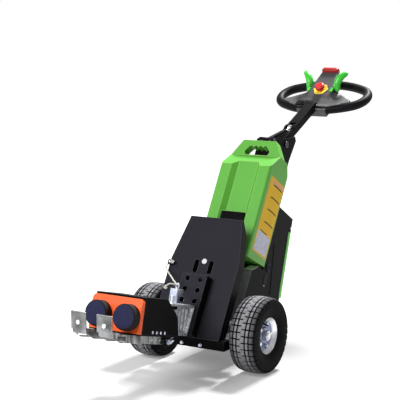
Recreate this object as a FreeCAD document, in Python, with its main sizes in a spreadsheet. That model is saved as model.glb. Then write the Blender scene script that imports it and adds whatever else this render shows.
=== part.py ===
import FreeCAD, Part
import math
import os
import re

import Sketcher
from FreeCAD import Vector

# Electric tow tug: a walk-behind machine with two driven wheels under a leaning mast, a swivel castor
# behind them, a battery pack that slots in behind the mast, and a tiller with an oval handle.
# +Z is up, -Y is the coupling in front, +Y the operator, and +X is to the right when looking along +Y.
# The origin is on the floor under the middle of the whole machine. Millimetres and degrees.

SIZES = {
    # The two angles that run through the whole machine.
    "lean": 30,                     # mast, battery and housing lean back from upright
    "tool_pitch": 14,               # the coupling tool points up towards its hooks
    "gap": 0.3,                     # between pieces of different bodies with curved faces
    # Drive wheels.
    "track": 446,
    "tyre_radius": 140,
    "tyre_width": 103,
    "tyre_shoulder": 128,           # radius where the side wall starts
    "tread_width": 94,
    "rib_width": 26,                # plain band in the middle of the tread
    "lug_drop": 2.5,                # from the rib's radius to the lugs'
    "lug_depth": 6,
    "lug_gap": 8,
    "lug_count": 24,                # lugs on each side of the rib
    "rim_seat": 64,
    "rim_flange": 72,
    "rim_width": 80,
    "flange_wall": 4,
    "rim_wall": 6,
    "dish_depth": 17,
    "disc_wall": 6,
    "hub_radius": 28,
    "hub_out": 26,                  # outer face of the hub from the wheel's middle
    "hub_in": 8,
    "shaft_radius": 12.5,
    "shaft_play": 0.05,
    "nut_flats": 34,
    "nut_height": 13,
    # Gear motors on the axle.
    "motor_radius": 34,
    "motor_start": 12,              # inner end from the middle plane
    "motor_end": 128,
    "flange_radius": 38,
    "flange_end": 150,
    "nose_radius": 20,
    "nose_end": 160,
    "shaft_start": 92,
    "saddle_width": 50,
    # Chassis.
    "crossbar_ahead": 152,
    "crossbar_depth": 50,
    "crossbar_gap": 8,
    "keel_floor": 96,
    "crossbar_floor": 101,
    "keel_plate": 8,
    "keel_width": 110,
    "keel_bend": 65,
    "deck_start": 42,
    "deck_end": 374,
    "deck_floor": 128,
    "deck_plate": 6,
    "deck_width": 212,
    # Swivel castor.
    "castor_back": 265,             # swivel axis behind the drive axle
    "castor_trail": 35,
    "castor_radius": 50,
    "castor_width": 32,
    "castor_plate_size": 104,
    "castor_plate_wall": 6,
    "race_radius": 30,
    "race_height": 10,
    "fork_wall": 5,
    "fork_side_gap": 5.5,
    "castor_hub_radius": 34,
    "castor_bolt": 5,
    # Mast panel and its channel.
    "panel_ahead": 159,             # foot of the panel's front face ahead of the drive axle
    "panel_foot": 139,
    "panel_width": 290,
    "panel_top_width": 222,
    "panel_shoulder": 290,
    "panel_length": 463,
    "panel_wall": 5,
    "panel_flange": 45,
    "panel_chamfer": 32,
    "slot_spread": 31,
    "slot_width": 19,
    "slot_start": 242,
    "slot_end": 295,
    "slot_backing": 12,
    "slot_border": 9,
    "channel_width": 104,
    "channel_depth": 38,
    "channel_length": 226,
    "channel_wall": 5,
    "hole_spread": 27,
    "hole_radius": 10,
    "hole_pitch": 41.5,
    "hole_first": 125,
    "eye_side": 139,
    "eye_up": 267,
    "eye_radius": 8,
    "eye_wire": 2.5,
    # Battery pack, placed by the foot of its front face.
    "pack_back": 107,
    "pack_foot": 402,
    "pack_width": 220,
    "pack_foot_lift": 12,
    "pack_depth": 157,
    "pack_front_top": 367,
    "pack_facet": 60,
    "pack_top_front": 57,
    "pack_top_back": 122,
    "pack_top": 430,
    "pack_back_top": 375,
    "pack_round": 9,
    "tab_back": 95,
    "tab_top": 495,
    "tab_top_width": 144,
    "recess_width": 124,
    "recess_floor_width": 84,
    "recess_depth": 20,
    "recess_foot": 132,
    "grip_up": 453,
    "grip_width": 109,
    "grip_height": 40,
    "scallop": 10.5,
    "pocket_width": 100,
    "pocket_foot": 40,
    "pocket_top": 118,
    "pocket_depth": 28,
    "latch_width": 62,
    "latch_foot": 56,
    "latch_top": 92,
    # Housing behind the battery.
    "housing_width": 212,
    "housing_front": 74,
    "housing_seat": 117,
    "housing_top": 263,
    "housing_top_back": 287,
    "housing_corner_back": 298,
    "housing_corner_up": 210,
    "rail_width": 41,
    "void_depth": 52,
    "tail_back": 374,
    "tail_height": 178,
    "cover_depth": 17,
    "cover_inset": 8,
    # Tiller post and the points it carries.
    "post_width": 66,
    "post_wall": 6,
    "post_front": 162,
    "post_back": 270,
    "post_web_top": 480,
    "post_bend": 505,
    "post_taper": 4,
    "post_clear": 5,                # between the cheeks and the battery
    "web_inset": 6,
    "horn_back": 72,                # the cheeks' rear horn, from the tiller's pivot
    "horn_low": 49,
    "horn_front": 55,
    "horn_high": 61,
    "cheek_lip": 12,
    "cheek_rise": 20,
    "pivot_along": 207.5,
    "pivot_rise": 34.5,             # tiller's pivot above the strut's anchor
    "pivot_pin": 8,
    "pin_head": 13,
    "pin_head_wall": 5,
    "pin_play": 0.05,
    "anchor_along": 104,
    "anchor_rise": 21,              # strut's anchor above the battery's grip tab
    "anchor_boss": 16,
    "anchor_pin": 5,
    # Tiller arm, in its own frame from the pivot.
    "handle_rise": 25,
    "arm_width": 42,
    "arm_depth": 34,
    "arm_length": 305,
    "fork_slot": 28,
    "fork_length": 150,
    "strut_eye_along": 113,
    "strut_eye_above": 10,
    "strut_pin": 4,
    # Strut between post and arm.
    "strut_radius": 9,
    "strut_groove": 1.5,
    "strut_pitch": 9,
    "strut_start": 16,
    "rod_show": 43,                 # from the barrel's end to the middle of the rod's eye
    "rod_radius": 4,
    "rod_start": 62,
    "rod_bore_start": 34,
    "rod_eye_radius": 13,
    "rod_eye_hole": 8.6,
    "rod_eye_width": 12,
    # Oval handle.
    "ring_past": 135,               # from the arm's end to the handle's middle
    "ring_drop": 21,
    "ring_half_width": 200,
    "ring_half_depth": 112,
    "ring_end_curve": 80,
    "ring_tube": 19,
    # Head on the tiller.
    "head_width": 132,
    "nose_past": 9,                 # the head's places are from the arm's end
    "head_belly": 46,
    "head_chin": 6,
    "bend_past": 90,
    "head_bend_above": 14,
    "tip_past": 242,
    "head_tip_above": 53,
    "head_tip_width": 72,
    "head_tip_wall": 20,
    "web_width": 262,               # shoulders that join the head to the handle
    "web_near": 17,
    "web_far": 140,
    "web_foot": -16,
    "web_top": 1,
        "lever_start": 46,
    "lever_end": 76,
    "lever_out": 102,
    "lever_thick": 22,
    "lever_collar": 28,
    "lever_rise": 52,
    "lever_foot": 26,
    "button_past": 123,
    "button_radius": 20,
    "button_height": 15,
    "collar_radius": 15,
    "collar_height": 10,
    "plate_size": 34,
    "plate_wall": 2,
    "band_wall": 13,
    "rocker_length": 22,
    "rocker_height": 7,
    "rocker_past": 119,
    "rocker_side": 54,
    "key_side": 20,
    "key_width": 57,
    "key_depth": 34,
    "key_rise": 7,
    "key_barrel": 9,
    # Hitch bracket on the channel, placed by the pin's hole in its top plate.
    "pin_ahead": 262,
    "pin_height": 283,
    "hitch_width": 74,
    "hitch_plate": 8,
    "hitch_height": 110,
    "hitch_nose": 52,
    "jaw_start": 20,
    "jaw_width": 60,
    "jaw_rib": 12,
    "jaw_rib_pitch": 22,
    "jaw_border": 8,
    "jaw_hollow": 6,
    "lock_side": 16,                # the locking pin stands to the right of the middle
    "lock_back": 8,
    "lock_pin": 8,
    "lock_radius": 16,
    "lock_body": 28,
    "lock_block_width": 31,
    "lock_block_ahead": 7,
    "lock_block_behind": 36,
    "lock_block_height": 25,
    "lock_knob": 7,
    "lock_knob_height": 5,
    "lock_ring": 6.5,
    "lock_ring_wire": 2,
    "cord_radius": 2.5,
    # Coupling tool, along its own pitched frame from the pin.
    "box_width": 196,
    "box_start": 298,
    "box_top": 15,
    "box_floor": 107,
    "box_wall": 4,
    "box_back_top": 155,
    "box_shoulder": 79,
    "box_shoulder_drop": 44,
    "box_back_floor": 62,
    "tongue_width": 56,
    "tongue_flange": 12,
    "tongue_web": 14,
    "front_width": 202,
    "front_wall": 18,
    "front_top": 8,
    "front_round": 14,
    "front_lip": 29,
    "buffer_spread": 57,
    "buffer_drop": 56,
    "buffer_radius": 44,
    "buffer_height": 34,
    "buffer_round": 5,
    "base_floor": 111.5,
    "base_end": 62,
    "base_plate": 4,
    "ear_gap": 6,
    "ear_wall": 5,
    "ear_length": 34,
    "ear_drop": 36,
    "screw_back": 116,
    "screw_drop": 129,
    "slide_play": 0.5,
    # Sliding arms with their hook plates.
    "hook_reach": 714,              # hook plates' front ahead of the drive axle
    "arm_inside": 25,
    "arm_outside": 80,
    "slide_height": 27,
    "slide_wall": 3,
    "slide_chamfer": 50,
    "slide_tail": 55,
    "slide_tail_slant": 76,
    "slide_slot": 12,
    "stud_radius": 5.5,
    "stud_front": 268,
    "stud_rear": 150,
    "stud_washer": 13,
    "stud_head": 5,
    "slot_spare_front": 32,
    "slot_spare_rear": 56,
    "window_start": 401,
    "window_length": 50,
    "window_height": 17,
    "hook_inside": 22,
    "hook_outside": 81,
    "hook_height": 58,
    "hook_plate": 5,
    "hook_foot_length": 45,
    "clamp_radius": 5,
    "collar_length": 6,
    "collar_wide": 9,
    "wing_length": 9,
    "wing_reach": 17,
    "wing_rise": 7,
    "wing_wall": 4,
}

# Lengths that follow from the sizes above.
LENGTHS = {
    "arm_top": "arm_depth / 2",
    "anchor_up": "tab_top + anchor_rise",
    "pivot_up": "anchor_up + pivot_rise",
    "ring_along": "arm_length + ring_past",
    "head_nose_along": "arm_length + nose_past",
    "head_bend_along": "arm_length + bend_past",
    "head_tip_along": "arm_length + tip_past",
    "button_along": "arm_length + button_past",
    "rocker_along": "arm_length + rocker_past",
    # The drive axle's place along Y: it puts the origin midway between the hooks' front and the handle's rear.
    "axle_y": "(hook_reach - handle_reach) / 2",
    "handle_reach": "pivot_y + (ring_along + ring_half_depth) * cos(handle_rise)"
                    " + ring_drop * sin(handle_rise) + ring_tube",
    "pivot_y": "pack_back + pivot_along * cos(lean) + pivot_up * sin(lean)",
    "pivot_z": "pack_foot - pivot_along * sin(lean) + pivot_up * cos(lean)",
    "anchor_y": "pack_back + anchor_along * cos(lean) + anchor_up * sin(lean)",
    "anchor_z": "pack_foot - anchor_along * sin(lean) + anchor_up * cos(lean)",
    "strut_eye_y": "pivot_y + strut_eye_along * cos(handle_rise) - strut_eye_above * sin(handle_rise)",
    "strut_eye_z": "pivot_z + strut_eye_along * sin(handle_rise) + strut_eye_above * cos(handle_rise)",
    "strut_rise": "atan((strut_eye_z - anchor_z) / (strut_eye_y - anchor_y)) / 1 deg",
    "strut_length": "(strut_eye_y - anchor_y) / cos(strut_rise)",
    "strut_end": "strut_length - rod_show",
    "crossbar_half": "(track - tyre_width) / 2 - crossbar_gap",
    # The panel's foot stands flat on the crossbar, and the housing on the deck.
    "crossbar_top": "panel_foot - panel_wall * sin(lean)",
    "deck_top": "deck_floor + deck_plate",
    "castor_axle_back": "castor_back + castor_trail",
    # Front of the mast channel at its foot, seen in the coupling tool's frame.
    "channel_out": "panel_ahead + channel_depth * cos(lean)",
    "channel_rise": "panel_foot + channel_depth * sin(lean)",
    "seat_y": "(pin_ahead - channel_out) * cos(tool_pitch) - (channel_rise - pin_height) * sin(tool_pitch)",
    "seat_z": "(pin_ahead - channel_out) * sin(tool_pitch) + (channel_rise - pin_height) * cos(tool_pitch)",
    # Top of the sliding arms under the tool's base, and the hooks' foot on it.
    "lock_ring_back": "lock_back + (lock_block_behind - lock_block_ahead) / 2",
    "slide_top": "base_floor + slide_play",
    "slide_floor": "slide_top + slide_height",
    "hook_y": "(pin_ahead - hook_reach + slide_top * sin(tool_pitch)) / cos(tool_pitch)",
    "head_slope": "atan((head_tip_above - head_bend_above) / (head_tip_along - head_bend_along)) / 1 deg",
}

doc = FreeCAD.newDocument("tow_tug")
sheet = doc.addObject("Spreadsheet::Sheet", "Sizes")
for row, (alias, value) in enumerate(SIZES.items(), 1):
    sheet.set("A%d" % row, alias)
    sheet.set("B%d" % row, str(value))
    sheet.setAlias("B%d" % row, alias)
doc.recompute()

nodes = []


# Writing with sizes.

def tied(formula):
    """The formula with each size's name turned into its cell, and each worked-out length written out."""
    def swap(match):
        name = match.group()
        if name in SIZES:
            return "Sizes." + name
        if name in LENGTHS:
            return "(" + tied(LENGTHS[name]) + ")"
        return name
    return re.sub(r"[a-z][a-z_]*", swap, str(formula))


def number(formula):
    """What the formula comes to now."""
    value = sheet.evalExpression(tied(formula))
    return float(getattr(value, "Value", value))


def bind(thing, name, formula):
    thing.setExpression(name, tied(formula))


def place(thing, x="0", y="0", z="0", turn="0"):
    """Stands a sub-part at a spot measured from the drive axle's middle on the floor, turned about +X."""
    spot = "vector(%s; %s; %s)" % (x, "axle_y + " + y, z)
    bind(thing, "Placement", "placement(%s; rotation(vector(1; 0; 0); %s))" % (spot, turn))


def body(label, x="0", y="0", z="0", turn="0"):
    made = doc.addObject("PartDesign::Body", label)
    made.Label = label
    place(made, x, y, z, turn)
    nodes.append(made)
    return made


def machine(label):
    return body(label)


def on_panel(label):
    """A body in the leaning frame at the foot of the panel's front face."""
    return body(label, y="-panel_ahead", z="panel_foot", turn="-lean")


def on_pack(label):
    """A body in the leaning frame at the foot of the battery's front face."""
    return body(label, y="pack_back", z="pack_foot", turn="-lean")


def on_tool(label):
    """A body in the coupling tool's pitched frame, at the pin's hole."""
    return body(label, y="-pin_ahead", z="pin_height", turn="-tool_pitch")


def on_tiller(label):
    """A body in the tiller's frame at its pivot, +Y along the arm."""
    return body(label, y="pivot_y", z="pivot_z", turn="handle_rise")


# Sketching. A view is "side" (Y across, Z up, grows to +X), "top" (X across, Y up, grows to +Z) or
# "front" (X across, Z up, grows to +Y).

PLANES = {"side": "YZ_Plane", "top": "XY_Plane", "front": "XZ_Plane"}


def sketch_on(owner, view, start="0"):
    drawing = owner.newObject("Sketcher::SketchObject", "Sketch")
    plane = [each for each in owner.Origin.OriginFeatures if each.Role == PLANES[view]][0]
    drawing.AttachmentSupport = [(plane, "")]
    drawing.MapMode = "FlatFace"
    offset = "-(%s)" % start if view == "front" else start
    bind(drawing, "AttachmentOffset", "placement(vector(0; 0; %s); rotation(vector(0; 0; 1); 0))" % offset)
    return drawing


def hold_point(drawing, shape, end, x, y):
    """Ties one point of a drawn shape to its two distances from the sketch's origin."""
    for kind, formula in (("DistanceX", x), ("DistanceY", y)):
        rule = drawing.addConstraint(Sketcher.Constraint(kind, -1, 1, shape, end, number(formula)))
        bind(drawing, "Constraints[%d]" % rule, formula)


def arc_between(start, end, radius):
    """The short arc from start to end, its centre on the left for a positive radius, else on the right."""
    chord = end - start
    side = math.copysign(1, radius)
    rise = math.sqrt(max(radius ** 2 - (chord.Length / 2) ** 2, 0))
    left = Vector(-chord.y, chord.x, 0).normalize()
    centre = (start + end) / 2 + left * rise * side
    first, last = (start, end) if side > 0 else (end, start)
    angles = [math.atan2(spot.y - centre.y, spot.x - centre.x) for spot in (first, last)]
    return Part.ArcOfCircle(Part.Circle(centre, Vector(0, 0, 1), abs(radius)), *angles)


def draw_outline(drawing, corners, arcs=None):
    """A closed outline through the corners; arcs gives the radius of the edge that leaves a corner."""
    arcs = arcs or {}
    spots = [Vector(number(x), number(y), 0) for x, y in corners]
    count = len(spots)
    first = drawing.GeometryCount
    ends = []
    for index, start in enumerate(spots):
        end = spots[(index + 1) % count]
        radius = number(arcs.get(index, 0))
        if radius:
            shape = arc_between(start, end, radius)
        else:
            shape = Part.LineSegment(start, end)
        drawing.addGeometry(shape, False)
        ends.append((2, 1) if radius < 0 else (1, 2))
    for index in range(count):
        after = (index + 1) % count
        joint = Sketcher.Constraint("Coincident", first + index, ends[index][1], first + after, ends[after][0])
        drawing.addConstraint(joint)
    for index, (x, y) in enumerate(corners):
        hold_point(drawing, first + index, ends[index][0], x, y)
    for index, radius in arcs.items():
        rule = drawing.addConstraint(Sketcher.Constraint("Radius", first + index, abs(number(radius))))
        bind(drawing, "Constraints[%d]" % rule, "abs(%s)" % radius)


def draw_circle(drawing, x, y, radius):
    shape = drawing.GeometryCount
    spot = Vector(number(x), number(y), 0)
    drawing.addGeometry(Part.Circle(spot, Vector(0, 0, 1), number(radius)), False)
    hold_point(drawing, shape, 3, x, y)
    rule = drawing.addConstraint(Sketcher.Constraint("Radius", shape, number(radius)))
    bind(drawing, "Constraints[%d]" % rule, radius)


def box_corners(left, low, right, high):
    return [(left, low), (right, low), (right, high), (left, high)]


def rounded_corners(left, low, right, high, radius):
    """Corners and arcs of a rectangle with all four corners round."""
    corners = [("%s + %s" % (left, radius), low), ("%s - %s" % (right, radius), low),
               (right, "%s + %s" % (low, radius)), (right, "%s - %s" % (high, radius)),
               ("%s - %s" % (right, radius), high), ("%s + %s" % (left, radius), high),
               (left, "%s - %s" % (high, radius)), (left, "%s + %s" % (low, radius))]
    return corners, {1: radius, 3: radius, 5: radius, 7: radius}


# Features.

def settle(owner, feature):
    """Recomputes and makes the new feature the body's tip."""
    owner.Tip = feature
    doc.recompute()
    if feature.State and ("Invalid" in feature.State or "Error" in feature.State):
        raise RuntimeError("%s in %s failed" % (feature.Name, owner.Label))
    return feature


def pad(owner, drawing, view, length):
    feature = owner.newObject("PartDesign::Pad", "Pad")
    feature.Profile = drawing
    bind(feature, "Length", length)
    feature.Reversed = view == "front"
    return settle(owner, feature)


def pocket(owner, drawing, view, length):
    before = owner.Shape.Volume
    feature = owner.newObject("PartDesign::Pocket", "Pocket")
    feature.Profile = drawing
    bind(feature, "Length", length)
    feature.Reversed = view != "front"
    settle(owner, feature)
    if owner.Shape.Volume > before - 1:
        raise RuntimeError("a pocket in %s cuts nothing" % owner.Label)
    return feature


def pad_outline(owner, view, corners, start, end, arcs=None):
    drawing = sketch_on(owner, view, start)
    draw_outline(drawing, corners, arcs)
    return pad(owner, drawing, view, "(%s) - (%s)" % (end, start))


def pocket_outline(owner, view, corners, start, end, arcs=None):
    drawing = sketch_on(owner, view, start)
    draw_outline(drawing, corners, arcs)
    return pocket(owner, drawing, view, "(%s) - (%s)" % (end, start))


def pad_circle(owner, view, x, y, radius, start, end):
    drawing = sketch_on(owner, view, start)
    draw_circle(drawing, x, y, radius)
    return pad(owner, drawing, view, "(%s) - (%s)" % (end, start))


def pocket_circles(owner, view, spots, radius, start, end):
    drawing = sketch_on(owner, view, start)
    for x, y in spots:
        draw_circle(drawing, x, y, radius)
    return pocket(owner, drawing, view, "(%s) - (%s)" % (end, start))


def turned(owner, view, corners, axis="H_Axis", arcs=None, cut=False):
    """A profile turned right round the sketch's horizontal or vertical axis."""
    drawing = sketch_on(owner, view)
    draw_outline(drawing, corners, arcs)
    feature = owner.newObject("PartDesign::Groove" if cut else "PartDesign::Revolution", "Turned")
    feature.Profile = drawing
    feature.ReferenceAxis = (drawing, [axis])
    feature.Angle = 360
    return settle(owner, feature)


def round_edges(owner, radius, chosen):
    """Rounds the edges of the body's last feature that the test picks."""
    base = owner.Tip
    names = ["Edge%d" % (index + 1) for index, edge in enumerate(base.Shape.Edges) if chosen(edge)]
    feature = owner.newObject("PartDesign::Fillet", "Rounded")
    feature.Base = (base, names)
    bind(feature, "Radius", radius)
    return settle(owner, feature)


def runs_along(edge, axis):
    """True for a straight edge along one of the body's own axes (0, 1 or 2)."""
    if edge.Curve.TypeId != "Part::GeomLine":
        return False
    way = edge.Curve.Direction
    return abs(abs((way.x, way.y, way.z)[axis]) - 1) < 1e-6


# Wheels on the drive axle.

def mirrored(side, corners):
    return [("%d * (%s)" % (side, x), y) for x, y in corners]


def spun_in_flats(section, flats):
    """A closed section of (x, radius) points taken round the X axis in straight steps, as planar faces only."""
    half_step = math.pi / flats
    rings = []
    for step in range(flats + 1):
        angle = (2 * step - 1) * half_step
        rings.append([Vector(x, radius * math.sin(angle), radius * math.cos(angle)) for x, radius in section])
    faces = []
    for ring, following in zip(rings, rings[1:]):
        for corner in range(len(section)):
            ahead = (corner + 1) % len(section)
            square = [ring[corner], ring[ahead], following[ahead], following[corner], ring[corner]]
            faces.append(Part.Face(Part.makePolygon(square)))
    return Part.Solid(Part.makeShell(faces)).removeSplitter()


def drive_tyre(label, side):
    """Tyre with a plain rib round its middle and a row of lugs on each side, left by cutting the gaps between.

    It is spun in flats, two to each lug, so that every lug edge stays straight. The flats touch the floor at the tyre's radius.
    """
    bead = number("rim_width / 2 - flange_wall")
    edge = number("tread_width / 2")
    rib = number("rib_width / 2")
    bulge = number("tyre_width / 2")
    shoulder, drop = number("tyre_shoulder"), number("lug_drop")
    flats = 2 * int(number("lug_count"))
    seat = number("rim_seat") / math.cos(math.pi / flats)
    crown = number("tyre_radius") / math.cos(math.pi / flats)
    outer = [(bead, number("rim_flange + gap")), (bulge, number("(rim_flange + tyre_shoulder) / 2")),
             (edge, shoulder), (edge, crown - drop), (rib, crown - drop), (rib, crown)]
    section = [(bead, seat)] + outer + [(-x, radius) for x, radius in reversed(outer)] + [(-bead, seat)]
    width, depth = number("lug_gap"), number("lug_depth")
    gaps = []
    for row in (rib, -edge - 1):
        for step in range(flats // 2):
            gap = Part.makeBox(edge - rib + 1, width, depth + drop, Vector(row, -width / 2, crown - drop - depth))
            gap.rotate(Vector(0, 0, 0), Vector(1, 0, 0), 720 * step / flats)
            gaps.append(gap)
    tyre = doc.addObject("Part::Feature", label)
    tyre.Shape = spun_in_flats(section, flats).cut(gaps)
    place(tyre, x="%d * track / 2" % side, z="tyre_radius")
    nodes.append(tyre)


def drive_rim(label, side):
    owner = body(label, x="%d * track / 2" % side, z="tyre_radius")
    half = "rim_width / 2"
    bore = "shaft_radius"
    well = "rim_seat - rim_wall"
    corners = [("-(%s)" % half, "rim_flange"), ("-(%s - flange_wall)" % half, "rim_flange"),
               ("-(%s - flange_wall)" % half, "rim_seat"), ("%s - flange_wall" % half, "rim_seat"),
               ("%s - flange_wall" % half, "rim_flange"), (half, "rim_flange"),
               (half, "rim_flange - flange_wall"), ("%s - 2 * flange_wall" % half, well),
               ("hub_out", "%s - rim_wall" % well), ("%s - dish_depth - flange_wall" % half, "hub_radius + 4"),
               ("hub_out", "hub_radius"), ("hub_out", bore), ("-hub_in", bore), ("-hub_in", "hub_radius - 4"),
               ("%s - dish_depth - flange_wall - disc_wall" % half, "hub_radius"),
               ("hub_out - disc_wall", "%s" % well), ("-(%s - 2 * flange_wall)" % half, well),
               ("-(%s)" % half, "rim_flange - flange_wall")]
    turned(owner, "top", mirrored(side, corners))


def drive_shaft(label, side):
    """Shaft from the gear motor through the wheel's hub, with the nut that holds the wheel."""
    owner = body(label, x="%d * track / 2" % side, z="tyre_radius")
    inner = "shaft_start - track / 2"
    outer = "hub_out + nut_height + 3"
    corners = [(inner, "0"), (inner, "shaft_radius"), (outer, "shaft_radius"), (outer, "0")]
    turned(owner, "top", mirrored(side, corners))
    hexagon = [("nut_flats / 2 / cos(30) * cos(%d)" % angle, "nut_flats / 2 / cos(30) * sin(%d)" % angle)
               for angle in range(0, 360, 60)]
    start = "hub_out" if side > 0 else "-(hub_out + nut_height)"
    end = "hub_out + nut_height" if side > 0 else "-hub_out"
    pad_outline(owner, "side", hexagon, start, end)


def gear_motor(label, side):
    """Gear motor whose saddle stands on the keel and whose nose carries the drive shaft."""
    owner = body(label, z="tyre_radius")
    bore = "shaft_radius + shaft_play"
    corners = [("motor_start", "0"), ("motor_start", "motor_radius - 5"), ("motor_start + 5", "motor_radius"),
               ("motor_end", "motor_radius"), ("motor_end", "flange_radius"), ("flange_end", "flange_radius"),
               ("flange_end", "nose_radius"), ("nose_end", "nose_radius"), ("nose_end", bore),
               ("shaft_start - 2", bore), ("shaft_start - 2", "0")]
    turned(owner, "top", mirrored(side, corners))
    foot = "keel_floor + keel_plate - tyre_radius"
    corners = box_corners("-saddle_width / 2", foot, "saddle_width / 2", "-motor_radius / 2")
    start = "motor_start + 5" if side > 0 else "-keel_width / 2"
    end = "keel_width / 2" if side > 0 else "-motor_start - 5"
    pad_outline(owner, "side", corners, start, end)


for name, side in (("left", -1), ("right", 1)):
    drive_tyre("tyre_" + name, side)
    drive_rim("rim_" + name, side)
    drive_shaft("axle_shaft_" + name, side)
    gear_motor("gear_motor_" + name, side)


# Chassis: crossbar under the panel, keel plate under the motors and deck under the housing.

def chassis():
    owner = machine("chassis_frame")
    front = "-crossbar_ahead"
    rear = "crossbar_depth - crossbar_ahead"
    pad_outline(owner, "side", box_corners(front, "crossbar_floor", rear, "crossbar_top"),
                "-crossbar_half", "crossbar_half")
    round_edges(owner, "keel_plate / 2", lambda edge: runs_along(edge, 0))
    ramp = "deck_floor - keel_floor"
    corners = [("%s - 5" % rear, "keel_floor"), ("keel_bend", "keel_floor"),
               ("keel_bend + %s" % ramp, "deck_floor"), ("keel_bend + %s - keel_plate * 1.414" % ramp, "deck_floor"),
               ("keel_bend - keel_plate * 0.414", "keel_floor + keel_plate"),
               ("%s - 5" % rear, "keel_floor + keel_plate")]
    pad_outline(owner, "side", corners, "-keel_width / 2", "keel_width / 2")
    pad_outline(owner, "top", box_corners("-deck_width / 2", "deck_start", "deck_width / 2", "deck_end"),
                "deck_floor", "deck_top")


chassis()


# Swivel castor under the deck.

def castor():
    plate = machine("castor_plate")
    half = "castor_plate_size / 2"
    top = "deck_floor"
    under = "deck_floor - castor_plate_wall"
    corners, arcs = rounded_corners("-" + half, "castor_back - " + half, half, "castor_back + " + half, "8")
    pad_outline(plate, "top", corners, under, top, arcs)
    pad_circle(plate, "top", "0", "castor_back", "race_radius", "%s - race_height / 2 + gap" % under, under)

    fork = machine("castor_fork")
    crown = "castor_radius * 2 + 6"
    inside = "castor_width / 2 + fork_side_gap"
    pad_circle(fork, "top", "0", "castor_back", "race_radius", crown, "%s - race_height / 2" % under)
    corners = [("castor_back - race_radius", crown), ("castor_back - race_radius", "%s + fork_wall" % crown),
               ("castor_axle_back + 14", "%s + fork_wall" % crown), ("castor_axle_back + 14", crown)]
    pad_outline(fork, "side", corners, "-(%s + fork_wall)" % inside, "%s + fork_wall" % inside)
    cheek = [("castor_back - race_radius + 4", "%s + fork_wall" % crown), ("castor_axle_back - 14", "castor_radius - 4"),
             ("castor_axle_back", "castor_radius - 14"), ("castor_axle_back + 14", "castor_radius"),
             ("castor_axle_back + 14", "%s + fork_wall" % crown)]
    pad_outline(fork, "side", cheek, "-(%s + fork_wall)" % inside, "-(%s)" % inside)
    pad_outline(fork, "side", cheek, inside, "%s + fork_wall" % inside)
    pad_circle(fork, "side", "castor_axle_back", "castor_radius", "castor_bolt",
               "-(%s + fork_wall + 5)" % inside, "%s + fork_wall + 5" % inside)

    tread = body("castor_tyre", y="castor_axle_back", z="castor_radius")
    half = "castor_width / 2"
    turned(tread, "top", box_corners("-" + half, "castor_hub_radius", half, "castor_radius"))
    hub = body("castor_hub", y="castor_axle_back", z="castor_radius")
    bore = "castor_bolt + pin_play"
    boss = "%s - gap" % inside
    corners = [("-(%s)" % boss, bore), ("-(%s)" % boss, "12"), ("-6", "16"), ("-6", "castor_hub_radius - 6"),
               ("-%s" % half, "castor_hub_radius - 3"), ("-%s" % half, "castor_hub_radius"),
               (half, "castor_hub_radius"), (half, "castor_hub_radius - 3"), ("6", "castor_hub_radius - 6"),
               ("6", "16"), (boss, "12"), (boss, bore)]
    turned(hub, "top", corners)


castor()


# Mast panel with its side flanges, and the drilled channel on its face.

def slot_corners(x, low, high, width):
    half = "%s / 2" % width
    corners = [("%s - %s" % (x, half), "%s + %s" % (low, half)), ("%s + %s" % (x, half), "%s + %s" % (low, half)),
               ("%s + %s" % (x, half), "%s - %s" % (high, half)), ("%s - %s" % (x, half), "%s - %s" % (high, half))]
    return corners, {0: half + " * 1.001", 2: half + " * 1.001"}


def mast_panel():
    owner = on_panel("mast_panel")
    wide = "panel_width / 2"
    narrow = "panel_top_width / 2"
    corners = [("-" + wide, "0"), (wide, "0"), (wide, "panel_shoulder"), (narrow, "panel_length"),
               ("-" + narrow, "panel_length"), ("-" + wide, "panel_shoulder")]
    pad_outline(owner, "front", corners, "0", "panel_flange")
    wide += " - panel_wall"
    narrow += " - panel_wall"
    corners = [("-(%s)" % wide, "-1"), (wide, "-1"), (wide, "panel_shoulder"), (narrow, "panel_length"),
               (narrow, "panel_length + 1"), ("-(%s)" % narrow, "panel_length + 1"),
               ("-(%s)" % narrow, "panel_length"), ("-(%s)" % wide, "panel_shoulder")]
    pocket_outline(owner, "front", corners, "panel_wall", "panel_flange + 1")
    across = "panel_width / 2 + 1"
    edge = "panel_flange + 1"
    corners = [("panel_wall", "-1"), (edge, "-1"), (edge, "(%s - panel_wall) * tan(lean)" % edge), ("panel_wall", "0")]
    pocket_outline(owner, "side", corners, "-(%s)" % across, across)
    corners = [("panel_flange - panel_chamfer", "panel_length + 1"), ("panel_flange - panel_chamfer", "panel_length"),
               ("panel_flange", "panel_length - panel_chamfer * 1.5"),
               (edge, "panel_length - panel_chamfer * 1.5"), (edge, "panel_length + 1")]
    pocket_outline(owner, "side", corners, "-(%s)" % across, across)
    across = "slot_spread + slot_width / 2 + slot_border"
    corners = box_corners("-(%s)" % across, "slot_start - slot_border", across, "slot_end + slot_border")
    pad_outline(owner, "front", corners, "panel_wall - 1", "panel_wall + slot_backing")
    for x in ("-slot_spread", "slot_spread"):
        corners, arcs = slot_corners(x, "slot_start", "slot_end", "slot_width")
        pocket_outline(owner, "front", corners, "-1", "slot_backing", arcs)


def mast_channel():
    owner = on_panel("mast_channel")
    half = "channel_width / 2"
    inner = "(%s - channel_wall)" % half
    corners = [("-" + half, "0"), ("-" + half, "-channel_depth"), (half, "-channel_depth"), (half, "0"),
               (inner, "0"), (inner, "channel_wall - channel_depth"), ("-" + inner, "channel_wall - channel_depth"),
               ("-" + inner, "0")]
    pad_outline(owner, "top", corners, "0", "channel_length")
    spots = [(x, "hole_first + %d * hole_pitch" % step) for step in range(3) for x in ("-hole_spread", "hole_spread")]
    pocket_circles(owner, "front", spots, "hole_radius", "-channel_depth - 1", "channel_wall - channel_depth + 1")


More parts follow.
